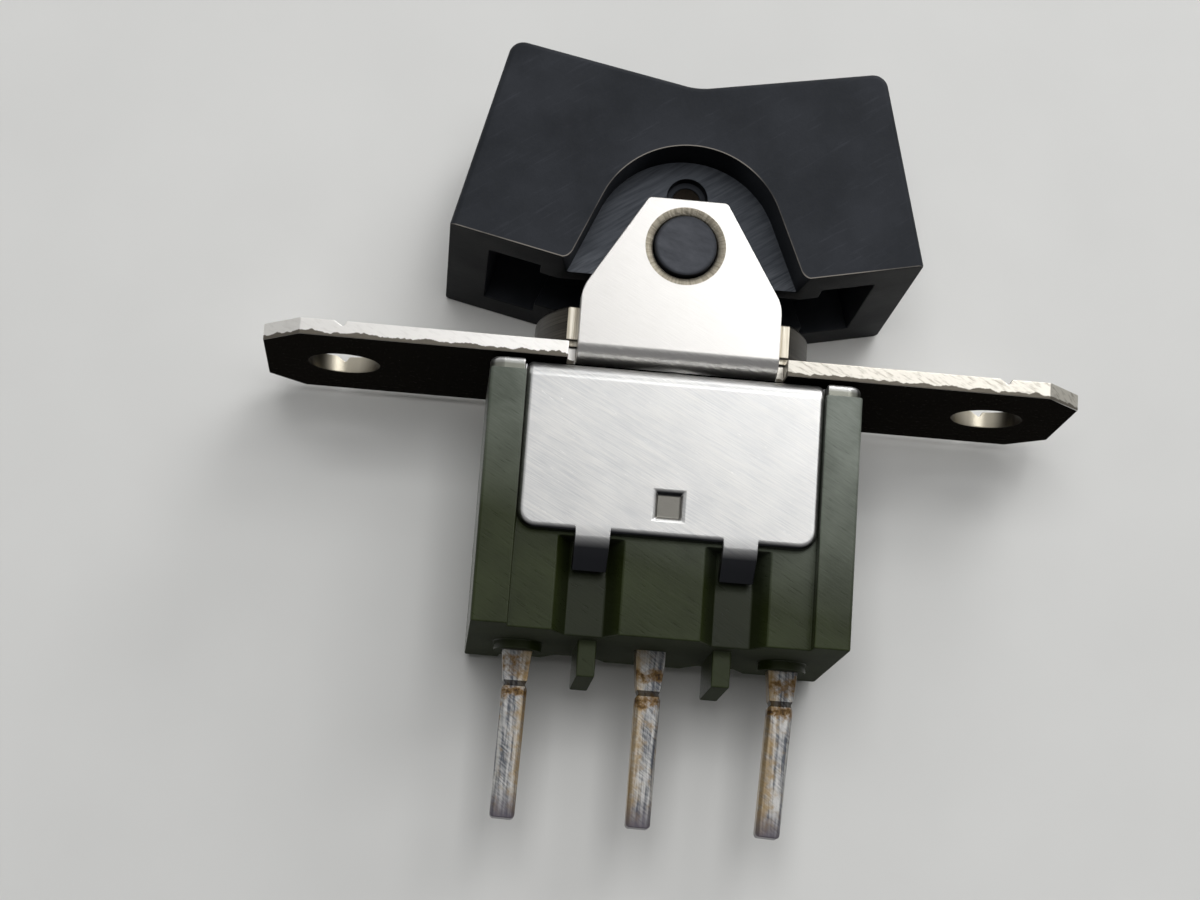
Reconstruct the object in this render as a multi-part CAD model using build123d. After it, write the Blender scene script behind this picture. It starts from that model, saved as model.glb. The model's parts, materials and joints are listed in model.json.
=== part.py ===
"""Miniature momentary rocker switch in a two-eared screw bracket, one STEP file per piece.

X runs along the mounting flange, in the direction the rocker tips. Y runs through the switch
from its front plate (facing -Y) to its back plate. Z runs from the terminals up to the rocker.
The origin is the centre of the flange's top face, midway between its two screw holes.
All sizes are millimetres and all angles degrees.
"""
import os
from math import cos, hypot, pi, radians, sin, tan

from build123d import *

# ---- mounting bracket: a flat flange with two ears folded up from its long edges
flange_length = 29.0
flange_depth = 7.2
flange_thickness = 0.6
flange_corner_chamfer = 1.3
screw_spacing = 23.4
screw_hole_diameter = 2.55
index_groove_gentle_side = 0.32
index_groove_steep_side = 0.12
index_groove_depth = 0.2
ear_base_width = 7.08
ear_top_width = 2.8
ear_top_rise = 1.72
ear_shoulder_drop = 1.85
ear_top_corner_radius = 0.18
ear_shoulder_radius = 1.2
ear_inner_bend_radius = 0.2
relief_notch_width = 0.3
relief_notch_depth = 0.95

# ---- rocker pivot: the rocker's bosses turn in the ears' holes
pivot_height = 3.8
boss_radius = 1.1
boss_running_clearance = 0.05
boss_stand_proud = 0.12
pivot_countersink_width = 0.28
pivot_countersink_depth = 0.13
rocker_tilt = 11.0

# ---- rocker, its heights counted up or down from the pivot
rocker_depth = 9.3
rocker_bottom_length = 16.66
rocker_top_length = 13.3
rocker_end_rise = 6.78
rocker_valley_rise = 5.54
rocker_underside_drop = 1.12
rocker_underside_length = 8.7
rocker_underside_slope = 12.0
rocker_roof = 1.5
rocker_end_wall = 1.4
rocker_hollow_overrun = 0.5
rocker_top_corner_radius = 0.5
rocker_edge_radius = 0.22
rocker_valley_radius = 0.9
recess_radius = 3.35
recess_flare = 23.0
recess_foot_radius = 0.35
recess_wall = 0.9
ear_side_clearance = 0.1
socket_length = 3.4
socket_rise = 0.9

# ---- lever that carries the rocker's motion into the case, and its cross pin
lever_radius = 0.9
lever_top_rise = 3.4
lever_pin_rise = 2.0
lever_pin_radius = 0.5
lever_pin_sink = 0.45
pin_counterbore_radius = 0.72
pin_counterbore_depth = 0.4

# ---- collar: turned bushing with two flats, riveted through flange and frame
collar_radius = 4.95
collar_height = 1.45
collar_chamfer = 0.12
collar_neck_radius = 2.35
collar_neck_wall = 0.4
collar_fit_clearance = 0.05
collar_rim_flare = 0.15
collar_rim_thickness = 0.2
collar_bore_top_radius = 1.65

# ---- sheet frame that clamps the case
frame_sheet = 0.44
frame_seat_lift = 0.18
frame_seat_room = 0.05
frame_seat_wall = 0.15
frame_plate_height = 5.94
frame_plate_side_clearance = 0.03
frame_plate_corner_radius = 0.65
frame_bend_radius = 0.6
frame_slit_width = 0.1
frame_slit_depth = 0.75
frame_end_corner_radius = 0.5
tab_spacing = 5.1
tab_width = 1.2
tab_straight = 0.2
tab_bend_radius = 0.15
tab_reach_in = 0.7
tab_drop = 0.75
dent_size = 1.0
dent_depth = 0.18
dent_draft = 30.0
dent_drop = 4.82

# ---- moulded case
case_length = 13.0
case_depth = 7.9
case_floor = 2.1
case_edge_radius = 0.12
pilaster_width = 1.27
plate_recess = 0.64
groove_mouth = 2.3
groove_floor = 1.33
groove_depth = 0.9
groove_top_clearance = 0.12
cavity_end_room = 0.9
cavity_side_room = 0.4
terminal_boss_radius = 0.85
terminal_boss_height = 0.35
barrier_thickness = 0.65
barrier_depth = 3.6
barrier_height = 1.3

# ---- insulating sheet, set in a rebate in the case's top
insulator_sheet = 0.15
insulator_end_margin = 0.5
insulator_ledge = 0.9
insulator_slot_length = 4.6
insulator_slot_width = 2.6

# ---- actuator block, spring and plunger on the lever's lower end
block_headroom = 0.63
block_height = 3.3
block_length = 2.6
block_depth = 2.4
block_edge_radius = 0.2
lever_engagement = 1.2
spring_seat_wall = 0.1
plunger_radius = 0.68
plunger_clearance = 0.05
plunger_guided_length = 0.6
plunger_reach = 0.95
plunger_travel = 0.4
spring_wire_radius = 0.09
spring_side_clearance = 0.07
spring_active_turns = 3
spring_closed_turns = 1
spring_corners_per_turn = 16

# ---- contactor, the seesaw under the plunger
contactor_sheet = 0.3
contactor_tip_gap = 0.05
contactor_end_margin = 0.55
contactor_width = 2.1
contactor_rise = 4.0
contactor_lug_length = 0.6
contactor_lug_reach = 0.4
contact_inset = 0.5
movable_contact_radius = 0.7
movable_contact_height = 0.35
rivet_shank_radius = 0.35
rivet_head_radius = 0.5
rivet_head_height = 0.12
fixed_contact_radius = 0.8
contactor_swing = 6.0
contact_air_gap = 0.05

# ---- cradle that the contactor rocks on
cradle_sheet = 0.3
cradle_length = 1.6
cradle_side_clearance = 0.15
cradle_ear_height = 0.25
cradle_notch_clearance = 0.08
contactor_room = 1.6

# ---- terminals, their heights counted down from the case's bottom
terminal_pitch = 4.7
terminal_thickness = 0.76
terminal_root_width = 1.05
terminal_neck_top_width = 0.86
terminal_neck_width = 0.7
terminal_neck_drop = 1.53
terminal_neck_notch = 0.16
terminal_blade_width = 0.9
terminal_tip_width = 0.86
terminal_length = 6.2
terminal_tip_chamfer = 0.12
terminal_edge_chamfer = 0.12
terminal_lean = {"left": 1.1, "common": 0.7, "right": 2.7}
outer_head_length = 1.9
outer_head_depth = 2.6
outer_head_thickness = 0.4
common_head_length = 2.0
common_head_thickness = 0.3

# ---- how near two places are to count as the same
same_place = 1e-6

# ---- places across the switch that follow from the sizes above
ear_outer_y = flange_depth / 2
ear_inner_y = ear_outer_y - flange_thickness
recess_y = ear_inner_y - ear_side_clearance
wall_inner_y = recess_y - recess_wall
plate_seat_y = case_depth / 2 - plate_recess
plate_outer_y = plate_seat_y + frame_sheet
cradle_inner_y = contactor_width / 2 + cradle_side_clearance
cradle_outer_y = cradle_inner_y + cradle_sheet
cavity_y = cradle_outer_y + cavity_side_room

# ---- places along the switch
cavity_x = terminal_pitch + cavity_end_room
contact_x = terminal_pitch - contact_inset
plate_half_width = case_length / 2 - pilaster_width - frame_plate_side_clearance

# ---- heights, from the rocker down to the terminals' tips
rocker_end_top = pivot_height + rocker_end_rise
rocker_valley = pivot_height + rocker_valley_rise
rocker_underside = pivot_height - rocker_underside_drop
rocker_end_bottom = rocker_underside + tan(radians(rocker_underside_slope)) * (
    rocker_bottom_length - rocker_underside_length) / 2
lever_pin_height = pivot_height + lever_pin_rise
flange_bottom = -flange_thickness
frame_top = flange_bottom - frame_seat_lift
case_top = frame_top - frame_sheet
plate_bottom = frame_top - frame_plate_height
rim_bottom = flange_bottom - frame_sheet
rim_top = rim_bottom + collar_rim_thickness
block_top = case_top - insulator_sheet - block_headroom
block_bottom = block_top - block_height
lever_bottom = block_top - lever_engagement
spring_top = lever_bottom - spring_seat_wall
plunger_head = block_bottom + plunger_guided_length
plunger_tip = block_bottom - plunger_reach
contactor_top = plunger_tip - contactor_tip_gap
contactor_axis = contactor_top - contactor_sheet / 2
cavity_floor = contactor_axis - contactor_room
case_bottom = cavity_floor - case_floor
boss_bottom = case_bottom - terminal_boss_height
neck_height = case_bottom - terminal_neck_drop
terminal_tip = case_bottom - terminal_length

# ---- radii that follow
collar_hole_radius = collar_neck_radius + collar_fit_clearance
collar_rim_radius = collar_neck_radius + collar_rim_flare
rim_room_radius = collar_rim_radius + frame_seat_room
frame_seat_radius = rim_room_radius + frame_seat_wall
plunger_bore_radius = plunger_radius + plunger_clearance


def xz_solid(face, y_low, y_high):
    """Extrude a face drawn on the XZ plane from y_low to y_high."""
    return extrude(Plane.XZ.offset(-y_low) * face, amount=y_low - y_high)


def yz_solid(face, x_low, x_high):
    """Extrude a face drawn on the YZ plane from x_low to x_high."""
    return extrude(Plane.YZ.offset(x_low) * face, amount=x_high - x_low)


def block(x_low, x_high, y_low, y_high, z_low, z_high):
    """A plain box between six planes, used to cut and to add."""
    centre = ((x_low + x_high) / 2, (y_low + y_high) / 2, (z_low + z_high) / 2)
    return Pos(*centre) * Box(x_high - x_low, y_high - y_low, z_high - z_low)


def upright_cylinder(radius, z_low, z_high, x=0.0):
    return Pos(x, 0, (z_low + z_high) / 2) * Cylinder(radius, z_high - z_low)


def cross_cylinder(radius, y_low, y_high, z):
    """A round bar along Y."""
    return Pos(0, (y_low + y_high) / 2, z) * Rot(90, 0, 0) * Cylinder(radius, y_high - y_low)


def front_and_back(piece):
    """The piece and its mirror image across the XZ plane."""
    return piece + mirror(piece, about=Plane.XZ)


def both_ends(piece):
    """The piece and its mirror image across the YZ plane."""
    return piece + mirror(piece, about=Plane.YZ)


# ---------------------------------------------------------------- bracket
def ear_outline():
    """The ear above its bend: straight sides, sloping shoulders and a narrow flat top."""
    half_base = ear_base_width / 2
    half_top = ear_top_width / 2
    top = pivot_height + ear_top_rise
    shoulder = pivot_height - ear_shoulder_drop
    outline = make_face(Polyline(
        (-half_base, ear_inner_bend_radius), (-half_base, shoulder),
        (-half_top, top), (half_top, top), (half_base, shoulder),
        (half_base, ear_inner_bend_radius), close=True))
    outline = fillet(outline.vertices().sort_by(Axis.Y)[-2:], ear_top_corner_radius)
    shoulders = [v for v in outline.vertices() if abs(v.Y - shoulder) < same_place]
    return fillet(shoulders, ear_shoulder_radius)


def make_ear():
    """The front ear, with its bend up from the flange and its countersunk pivot hole."""
    ear = xz_solid(ear_outline(), -ear_outer_y, -ear_inner_y)
    centre_y = ear_inner_bend_radius - ear_inner_y
    outer = Circle(ear_inner_bend_radius + flange_thickness) - Circle(ear_inner_bend_radius)
    quarter = Pos(centre_y, ear_inner_bend_radius) * (
        outer & Pos(-flange_depth / 2, -flange_depth / 2) * Rectangle(flange_depth, flange_depth))
    bend = yz_solid(quarter, -ear_base_width / 2, ear_base_width / 2)
    hole_radius = boss_radius + boss_running_clearance
    hole = cross_cylinder(hole_radius, -ear_outer_y, -ear_inner_y, pivot_height)
    sink = Pos(0, pivot_countersink_depth / 2 - ear_outer_y, pivot_height) * Rot(90, 0, 0) * Cone(
        hole_radius, hole_radius + pivot_countersink_width, pivot_countersink_depth)
    return ear + bend - hole - sink


def make_bracket():
    flange = Rectangle(flange_length, flange_depth)
    flange = chamfer(flange.vertices(), flange_corner_chamfer)
    flange -= Circle(collar_hole_radius)
    flange -= Locations((-screw_spacing / 2, 0), (screw_spacing / 2, 0)) * Circle(screw_hole_diameter / 2)
    flange = extrude(flange, amount=-flange_thickness)
    half_base = ear_base_width / 2
    bend_zone = block(-half_base, half_base, -ear_outer_y, ear_inner_bend_radius - ear_inner_y,
                      flange_bottom, 0)
    notch = block(half_base, half_base + relief_notch_width, -ear_outer_y,
                  relief_notch_depth - ear_outer_y, flange_bottom, 0)
    flange -= front_and_back(bend_zone + both_ends(notch))
    groove = make_face(Polyline((-index_groove_gentle_side, 0), (index_groove_steep_side, 0),
                                (0, -index_groove_depth), close=True))
    for place in (-screw_spacing / 2, screw_spacing / 2):
        flange -= xz_solid(Pos(place, 0) * groove, -ear_outer_y, ear_outer_y)
    return flange + front_and_back(make_ear())


# ---------------------------------------------------------------- collar
def make_collar():
    head = upright_cylinder(collar_radius, 0, collar_height)
    head &= block(-collar_radius, collar_radius, -ear_inner_y, ear_inner_y, 0, collar_height)
    head = chamfer(head.faces().sort_by(Axis.Z)[-1].edges(), collar_chamfer)
    bend_relief = block(-collar_radius, collar_radius, -ear_inner_y, ear_inner_bend_radius - ear_inner_y,
                        0, ear_inner_bend_radius)
    head -= front_and_back(bend_relief)
    neck = upright_cylinder(collar_neck_radius, rim_bottom, 0)
    rim = upright_cylinder(collar_rim_radius, rim_bottom, rim_top)
    bore = Pos(0, 0, (collar_height + rim_bottom) / 2) * Cone(
        collar_neck_radius - collar_neck_wall, collar_bore_top_radius, collar_height - rim_bottom)
    return head + neck + rim - bore


# ---------------------------------------------------------------- frame
def make_frame():
    """A sheet over the case's top, folded down into a front and a back plate with four tabs.

    A round seat pressed up in its middle meets the flange, with room below for the collar's rim.
    """
    height = frame_plate_height
    middle = Pos(0, frame_top - height / 2) * Rectangle(2 * plate_outer_y, height)
    middle = fillet(middle.vertices().sort_by(Axis.Y)[-2:], frame_bend_radius)
    middle -= Pos(0, case_top - height / 2) * Rectangle(2 * plate_seat_y, height)
    saddle = yz_solid(middle, -plate_half_width, plate_half_width)
    feet = [e for e in saddle.edges().filter_by(Axis.Y) if abs(e.center().Z - plate_bottom) < same_place]
    saddle = fillet(feet, frame_plate_corner_radius)
    top = Pos(0, 0, case_top) * extrude(
        RectangleRounded(case_length, 2 * plate_outer_y, frame_end_corner_radius), amount=frame_sheet)
    top -= block(-plate_half_width, plate_half_width, -plate_outer_y, plate_outer_y,
                 case_top, frame_top)
    slit = block(plate_half_width, plate_half_width + frame_slit_width, -plate_outer_y,
                 frame_slit_depth - plate_outer_y, case_top, frame_top)
    top -= front_and_back(both_ends(slit))
    shell = saddle + top + front_and_back(both_ends(make_tab()))
    seat = upright_cylinder(frame_seat_radius, case_top, flange_bottom)
    rim_room = upright_cylinder(rim_room_radius, case_top, rim_top)
    hole = upright_cylinder(collar_hole_radius, case_top, flange_bottom)
    dent = Pos(0, -plate_outer_y, frame_top - dent_drop) * Rot(-90, 0, 0) * extrude(
        Rectangle(dent_size, dent_size), amount=dent_depth, taper=dent_draft)
    return shell + seat - rim_room - hole - dent


def make_tab():
    """One tab at the right of the front plate, run straight down and then clinched inwards."""
    outer = -plate_outer_y
    inner = -plate_seat_y
    bend = plate_bottom - tab_straight
    slope = hypot(tab_reach_in, tab_drop)
    across = frame_sheet * tab_drop / slope
    along = frame_sheet * tab_reach_in / slope
    kink = frame_sheet * (slope - tab_drop) / tab_reach_in
    profile = make_face(Polyline(
        (outer, plate_bottom), (inner, plate_bottom), (inner, bend),
        (inner + tab_reach_in, bend - tab_drop), (inner + tab_reach_in - across, bend - tab_drop - along),
        (outer, bend - kink), close=True))
    inside = [v for v in profile.vertices() if abs(v.X - inner) < same_place and v.Y < plate_bottom - same_place]
    profile = fillet(inside, tab_bend_radius)
    outside = [v for v in profile.vertices() if abs(v.X - outer) < same_place and v.Y < plate_bottom - same_place]
    profile = fillet(outside, tab_bend_radius + frame_sheet)
    return yz_solid(profile, (tab_spacing - tab_width) / 2, (tab_spacing + tab_width) / 2)


# ---------------------------------------------------------------- case
def make_case():
    front = case_depth / 2
    case = block(-case_length / 2, case_length / 2, -front, front, case_bottom, case_top)
    case = fillet(case.edges().filter_by(Axis.Z), case_edge_radius)
    bay = case_length / 2 - pilaster_width
    case -= front_and_back(block(-bay, bay, -front, -plate_seat_y, case_bottom, case_top))
    groove = make_face(Polyline(
        (-groove_mouth / 2, -plate_seat_y), (groove_mouth / 2, -plate_seat_y),
        (groove_floor / 2, groove_depth - plate_seat_y), (-groove_floor / 2, groove_depth - plate_seat_y),
        close=True))
    groove_top = plate_bottom - groove_top_clearance
    groove = Pos(tab_spacing / 2, 0, case_bottom) * extrude(groove, amount=groove_top - case_bottom)
    case -= front_and_back(both_ends(groove))
    case -= block(-cavity_x, cavity_x, -cavity_y, cavity_y, cavity_floor, case_top)
    case -= insulator_blank()
    boss = upright_cylinder(terminal_boss_radius, boss_bottom, case_bottom, terminal_pitch)
    rib = block((terminal_pitch - barrier_thickness) / 2, (terminal_pitch + barrier_thickness) / 2,
                -barrier_depth / 2, barrier_depth / 2, case_bottom - barrier_height, case_bottom)
    case += both_ends(boss) + both_ends(rib)
    slot = block(-terminal_root_width / 2, terminal_root_width / 2, -terminal_thickness / 2,
                 terminal_thickness / 2, boss_bottom, cavity_floor)
    for place in (-terminal_pitch, 0, terminal_pitch):
        case -= Pos(place, 0, 0) * slot
    return case


def insulator_blank():
    length = case_length / 2 - insulator_end_margin
    depth = cavity_y + insulator_ledge
    return block(-length, length, -depth, depth, case_top - insulator_sheet, case_top)


def make_insulator():
    slot = Pos(0, 0, case_top - insulator_sheet) * extrude(
        SlotOverall(insulator_slot_length, insulator_slot_width), amount=insulator_sheet)
    return insulator_blank() - slot


# ---------------------------------------------------------------- rocker
def rocker_outline(inset_ends=0.0, inset_roof=0.0, overrun=0.0):
    """A shallow V on top, drafted ends, and an underside that rises towards both ends."""
    bottom = rocker_bottom_length / 2 - inset_ends
    top = rocker_top_length / 2 - inset_ends
    middle = rocker_underside_length / 2
    underside = rocker_underside - overrun
    end_bottom = rocker_end_bottom - overrun
    return make_face(Polyline(
        (-middle, underside), (middle, underside), (bottom, end_bottom),
        (top, rocker_end_top - inset_roof), (0, rocker_valley - inset_roof),
        (-top, rocker_end_top - inset_roof), (-bottom, end_bottom), close=True))


def arch_outline(grow=0.0):
    """The half-round recess over an ear, its sides flaring out down past the underside."""
    radius = recess_radius + grow
    lean = radians(recess_flare)
    side_x = radius * cos(lean)
    side_z = pivot_height + radius * sin(lean)
    foot_z = rocker_underside - recess_radius
    foot_x = side_x + (side_z - foot_z) * tan(lean)
    arc = ThreePointArc((-side_x, side_z), (0, pivot_height + radius), (side_x, side_z))
    sides = Polyline((side_x, side_z), (foot_x, foot_z), (-foot_x, foot_z), (-side_x, side_z))
    return make_face(arc + sides)


def make_rocker_shell():
    """The rocker's outside, hollowed from below, with a recess over each ear."""
    half_depth = rocker_depth / 2
    outline = rocker_outline()
    outline = fillet(outline.vertices().sort_by(Axis.Y)[-2:], rocker_top_corner_radius)
    valley = [v for v in outline.vertices() if abs(v.X) < same_place]
    outline = fillet(valley, rocker_valley_radius)
    shell = xz_solid(outline, -half_depth, half_depth)
    rims = shell.faces().filter_by(Axis.Y).edges()
    rims = [e for e in rims if e.center().Z > rocker_end_bottom + rocker_edge_radius]
    shell = fillet(rims, rocker_edge_radius)
    hollow_outline = rocker_outline(rocker_end_wall, rocker_roof, rocker_hollow_overrun)
    hollow = xz_solid(hollow_outline, -recess_y, recess_y)
    arch_wall = xz_solid(arch_outline(recess_wall), -recess_y, -wall_inner_y)
    recess = xz_solid(arch_outline(), -half_depth, -recess_y)
    shell -= hollow - front_and_back(arch_wall)
    shell -= front_and_back(recess)
    feet = [e for e in shell.edges().filter_by(Axis.Y)
            if abs(e.center().Z - rocker_underside) < same_place and abs(e.center().Y) > recess_y
            and abs(e.center().X) < rocker_underside_length / 2 - same_place]
    return fillet(feet, recess_foot_radius)


def make_rocker():
    shell = make_rocker_shell()
    socket_bottom = pivot_height + socket_rise
    socket = block(-socket_length / 2, socket_length / 2, -wall_inner_y, wall_inner_y,
                   socket_bottom, rocker_valley - rocker_roof / 2)
    shell += socket - upright_cylinder(lever_radius, socket_bottom, pivot_height + lever_top_rise)
    boss = cross_cylinder(boss_radius, -ear_outer_y - boss_stand_proud, -recess_y, pivot_height)
    counterbore = cross_cylinder(pin_counterbore_radius, -recess_y,
                                 pin_counterbore_depth - recess_y, lever_pin_height)
    pin_hole = cross_cylinder(lever_pin_radius, -recess_y, recess_y, lever_pin_height)
    return shell + front_and_back(boss) - front_and_back(counterbore) - pin_hole


# ---------------------------------------------------------------- lever, block, spring, plunger
def make_lever():
    lever = upright_cylinder(lever_radius, lever_bottom, pivot_height + lever_top_rise)
    return lever - cross_cylinder(lever_pin_radius, -lever_radius, lever_radius, lever_pin_height)


def make_lever_pin():
    reach = recess_y - lever_pin_sink
    return cross_cylinder(lever_pin_radius, -reach, reach, lever_pin_height)


def make_actuator_block():
    body = block(-block_length / 2, block_length / 2, -block_depth / 2, block_depth / 2,
                 block_bottom, block_top)
    body = fillet(body.edges().filter_by(Axis.Z), block_edge_radius)
    body -= upright_cylinder(lever_radius, lever_bottom, block_top)
    return body - upright_cylinder(plunger_bore_radius, block_bottom, spring_top)


def make_plunger():
    """A round-ended plunger that the spring pushes against the contactor."""
    shoulder = plunger_tip + plunger_radius
    body = upright_cylinder(plunger_radius, shoulder, plunger_head)
    return body + Pos(0, 0, shoulder) * Sphere(plunger_radius)


def make_spring():
    """A compression spring with a closed turn at each end, in short straights of six-sided wire."""
    radius = plunger_bore_radius - spring_side_clearance - spring_wire_radius
    low = plunger_head + spring_wire_radius
    high = spring_top - spring_wire_radius
    closed_rise = 2 * spring_wire_radius
    turns = spring_active_turns + 2 * spring_closed_turns
    open_rise = (high - low - 2 * spring_closed_turns * closed_rise) / spring_active_turns
    open_end = spring_closed_turns + spring_active_turns
    points = []
    for step in range(turns * spring_corners_per_turn + 1):
        turn = step / spring_corners_per_turn
        open_turn = min(max(turn, spring_closed_turns), open_end)
        rise = open_rise * (open_turn - spring_closed_turns)
        rise += closed_rise * (min(turn, spring_closed_turns) + max(turn - open_end, 0))
        points.append((radius * cos(2 * pi * turn), radius * sin(2 * pi * turn), low + rise))
    path = Polyline(*points)
    wire = Plane(path @ 0, z_dir=path % 0) * RegularPolygon(spring_wire_radius, 6, rotation=30)
    return sweep(wire, path=path, transition=Transition.RIGHT)


# ---------------------------------------------------------------- contactor and its contacts
def wing_place(x):
    """The frame of the right wing's top face at the distance x from the rocking axis."""
    return Pos(x, 0, contactor_top + x * tan(radians(contactor_rise))) * Rot(0, -contactor_rise, 0)


def make_contactor():
    reach = contact_x + contactor_end_margin
    rise = reach * tan(radians(contactor_rise))
    profile = make_face(Polyline(
        (-reach, contactor_top + rise), (0, contactor_top), (reach, contactor_top + rise),
        (reach, contactor_top + rise - contactor_sheet), (0, contactor_top - contactor_sheet),
        (-reach, contactor_top + rise - contactor_sheet), close=True))
    strip = xz_solid(profile, -contactor_width / 2, contactor_width / 2)
    lug_y = contactor_width / 2 + contactor_lug_reach
    lugs = block(-contactor_lug_length / 2, contactor_lug_length / 2, -lug_y, lug_y,
                 contactor_top - contactor_sheet, contactor_top)
    shank = wing_place(contact_x) * Cylinder(rivet_shank_radius, 3 * contactor_sheet)
    return strip + lugs - both_ends(shank)


def make_movable_contact():
    """The right-hand contact: a domed head under the wing, riveted over on its top."""
    dome = Circle(movable_contact_radius)
    sheet = contactor_sheet
    head = Pos(0, 0, -sheet - movable_contact_height) * extrude(dome, amount=movable_contact_height)
    head = chamfer(head.edges().sort_by(Axis.Z)[0], movable_contact_height / 2)
    shank = Pos(0, 0, -sheet / 2) * Cylinder(rivet_shank_radius, sheet)
    cap = Pos(0, 0, rivet_head_height / 2) * Cylinder(rivet_head_radius, rivet_head_height)
    return wing_place(contact_x) * (head + shank + cap)


def make_fixed_contact():
    """The right-hand fixed contact, just below the movable one's lowest place."""
    swing = radians(contactor_swing)
    closed_slope = radians(contactor_swing - contactor_rise)
    drop = contactor_sheet / 2 + movable_contact_height - contact_x * tan(radians(contactor_rise))
    lowest = contactor_axis - drop * cos(swing) - contact_x * sin(swing)
    top = lowest - movable_contact_radius * sin(closed_slope) - contact_air_gap
    base = cavity_floor + outer_head_thickness
    button = upright_cylinder(fixed_contact_radius, base, top, contact_x)
    return chamfer(button.edges().sort_by(Axis.Z)[-1], (top - base) / 3)


def make_cradle():
    """A U of sheet whose two notched ears carry the contactor's lugs."""
    base = block(-cradle_length / 2, cradle_length / 2, -cradle_outer_y, cradle_outer_y,
                 cavity_floor + common_head_thickness,
                 cavity_floor + common_head_thickness + cradle_sheet)
    cheek = block(-cradle_length / 2, cradle_length / 2, -cradle_outer_y, -cradle_inner_y,
                  cavity_floor + common_head_thickness, contactor_axis + cradle_ear_height)
    notch_radius = hypot(contactor_lug_length, contactor_sheet) / 2 + cradle_notch_clearance
    notch = cross_cylinder(notch_radius, -cradle_outer_y, cradle_outer_y, contactor_axis)
    slot = block(-notch_radius, notch_radius, -cradle_outer_y, cradle_outer_y, contactor_axis,
                 contactor_axis + cradle_ear_height)
    return base + front_and_back(cheek) - notch - slot


# ---------------------------------------------------------------- terminals
def terminal_root():
    """The stretch from inside the case down to the neck."""
    root = terminal_root_width / 2
    shoulder = terminal_neck_top_width / 2
    neck = terminal_neck_width / 2
    outline = make_face(Polyline(
        (-root, cavity_floor), (root, cavity_floor), (root, boss_bottom),
        (shoulder, neck_height + terminal_neck_notch), (neck, neck_height), (-neck, neck_height),
        (-shoulder, neck_height + terminal_neck_notch), (-root, boss_bottom), close=True))
    return xz_solid(outline, -terminal_thickness / 2, terminal_thickness / 2)


def terminal_blade(lean):
    """The tapered blade below the neck, its long edges coined off, leaning about Y."""
    neck = terminal_neck_width / 2
    blade = terminal_blade_width / 2
    tip = terminal_tip_width / 2
    outline = make_face(Polyline(
        (-neck, neck_height), (neck, neck_height), (blade, neck_height - terminal_neck_notch),
        (tip, terminal_tip + terminal_tip_chamfer), (tip - terminal_tip_chamfer, terminal_tip),
        (terminal_tip_chamfer - tip, terminal_tip), (-tip, terminal_tip + terminal_tip_chamfer),
        (-blade, neck_height - terminal_neck_notch), close=True))
    solid = xz_solid(outline, -terminal_thickness / 2, terminal_thickness / 2)
    long_edges = [e for e in solid.faces().filter_by(Axis.Y).edges() if e.length > terminal_length / 2]
    solid = chamfer(long_edges, terminal_edge_chamfer)
    turn = Pos(0, 0, neck_height) * Rot(0, lean, 0) * Pos(0, 0, -neck_height)
    wedge = cross_cylinder(neck * sin(radians(lean)), -terminal_thickness / 2,
                           terminal_thickness / 2, neck_height) if lean else []
    return turn * solid + wedge


def make_outer_terminal(side):
    sign = {"left": -1, "right": 1}[side]
    head = block(contact_x - outer_head_length / 2, contact_x + outer_head_length / 2,
                 -outer_head_depth / 2, outer_head_depth / 2,
                 cavity_floor, cavity_floor + outer_head_thickness)
    if side == "left":
        head = mirrored(head)
    pin = terminal_root() + terminal_blade(terminal_lean[side])
    return head + Pos(sign * terminal_pitch, 0, 0) * pin


def make_common_terminal():
    head = block(-common_head_length / 2, common_head_length / 2, -cradle_outer_y, cradle_outer_y,
                 cavity_floor, cavity_floor + common_head_thickness)
    return head + terminal_root() + terminal_blade(terminal_lean["common"])


# ---------------------------------------------------------------- all pieces
def mirrored(piece):
    return mirror(piece, about=Plane.YZ)


def make_nodes():
    return {
        "bracket": make_bracket(),
        "collar": make_collar(),
        "frame": make_frame(),
        "case": make_case(),
        "insulator": make_insulator(),
        "rocker": make_rocker(),
        "lever": make_lever(),
        "lever_pin": make_lever_pin(),
        "actuator_block": make_actuator_block(),
        "plunger": make_plunger(),
        "plunger_spring": make_spring(),
        "contactor": make_contactor(),
        "movable_contact_left": mirrored(make_movable_contact()),
        "movable_contact_right": make_movable_contact(),
        "fixed_contact_left": mirrored(make_fixed_contact()),
        "fixed_contact_right": make_fixed_contact(),
        "contact_cradle": make_cradle(),
        "terminal_left": make_outer_terminal("left"),
        "terminal_common": make_common_terminal(),
        "terminal_right": make_outer_terminal("right"),
    }


if __name__ == "__main__":
    os.makedirs("parts", exist_ok=True)
    for name, piece in make_nodes().items():
        export_step(piece, f"parts/{name}.step")
        print(f"{name}: {piece.volume:.3f} mm3")
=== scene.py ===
"""Miniature rocker switch in a two-eared screw bracket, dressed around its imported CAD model.

X runs along the flange, Y from the front plate to the back plate, Z from the terminals up to
the rocker. Pieces are modelled in millimetres and brought to metres when they are finished.
"""
import json
from contextlib import contextmanager
from math import cos, hypot, pi, radians, sin, tan

import bmesh
import bpy
from mathutils import Matrix, Vector


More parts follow.
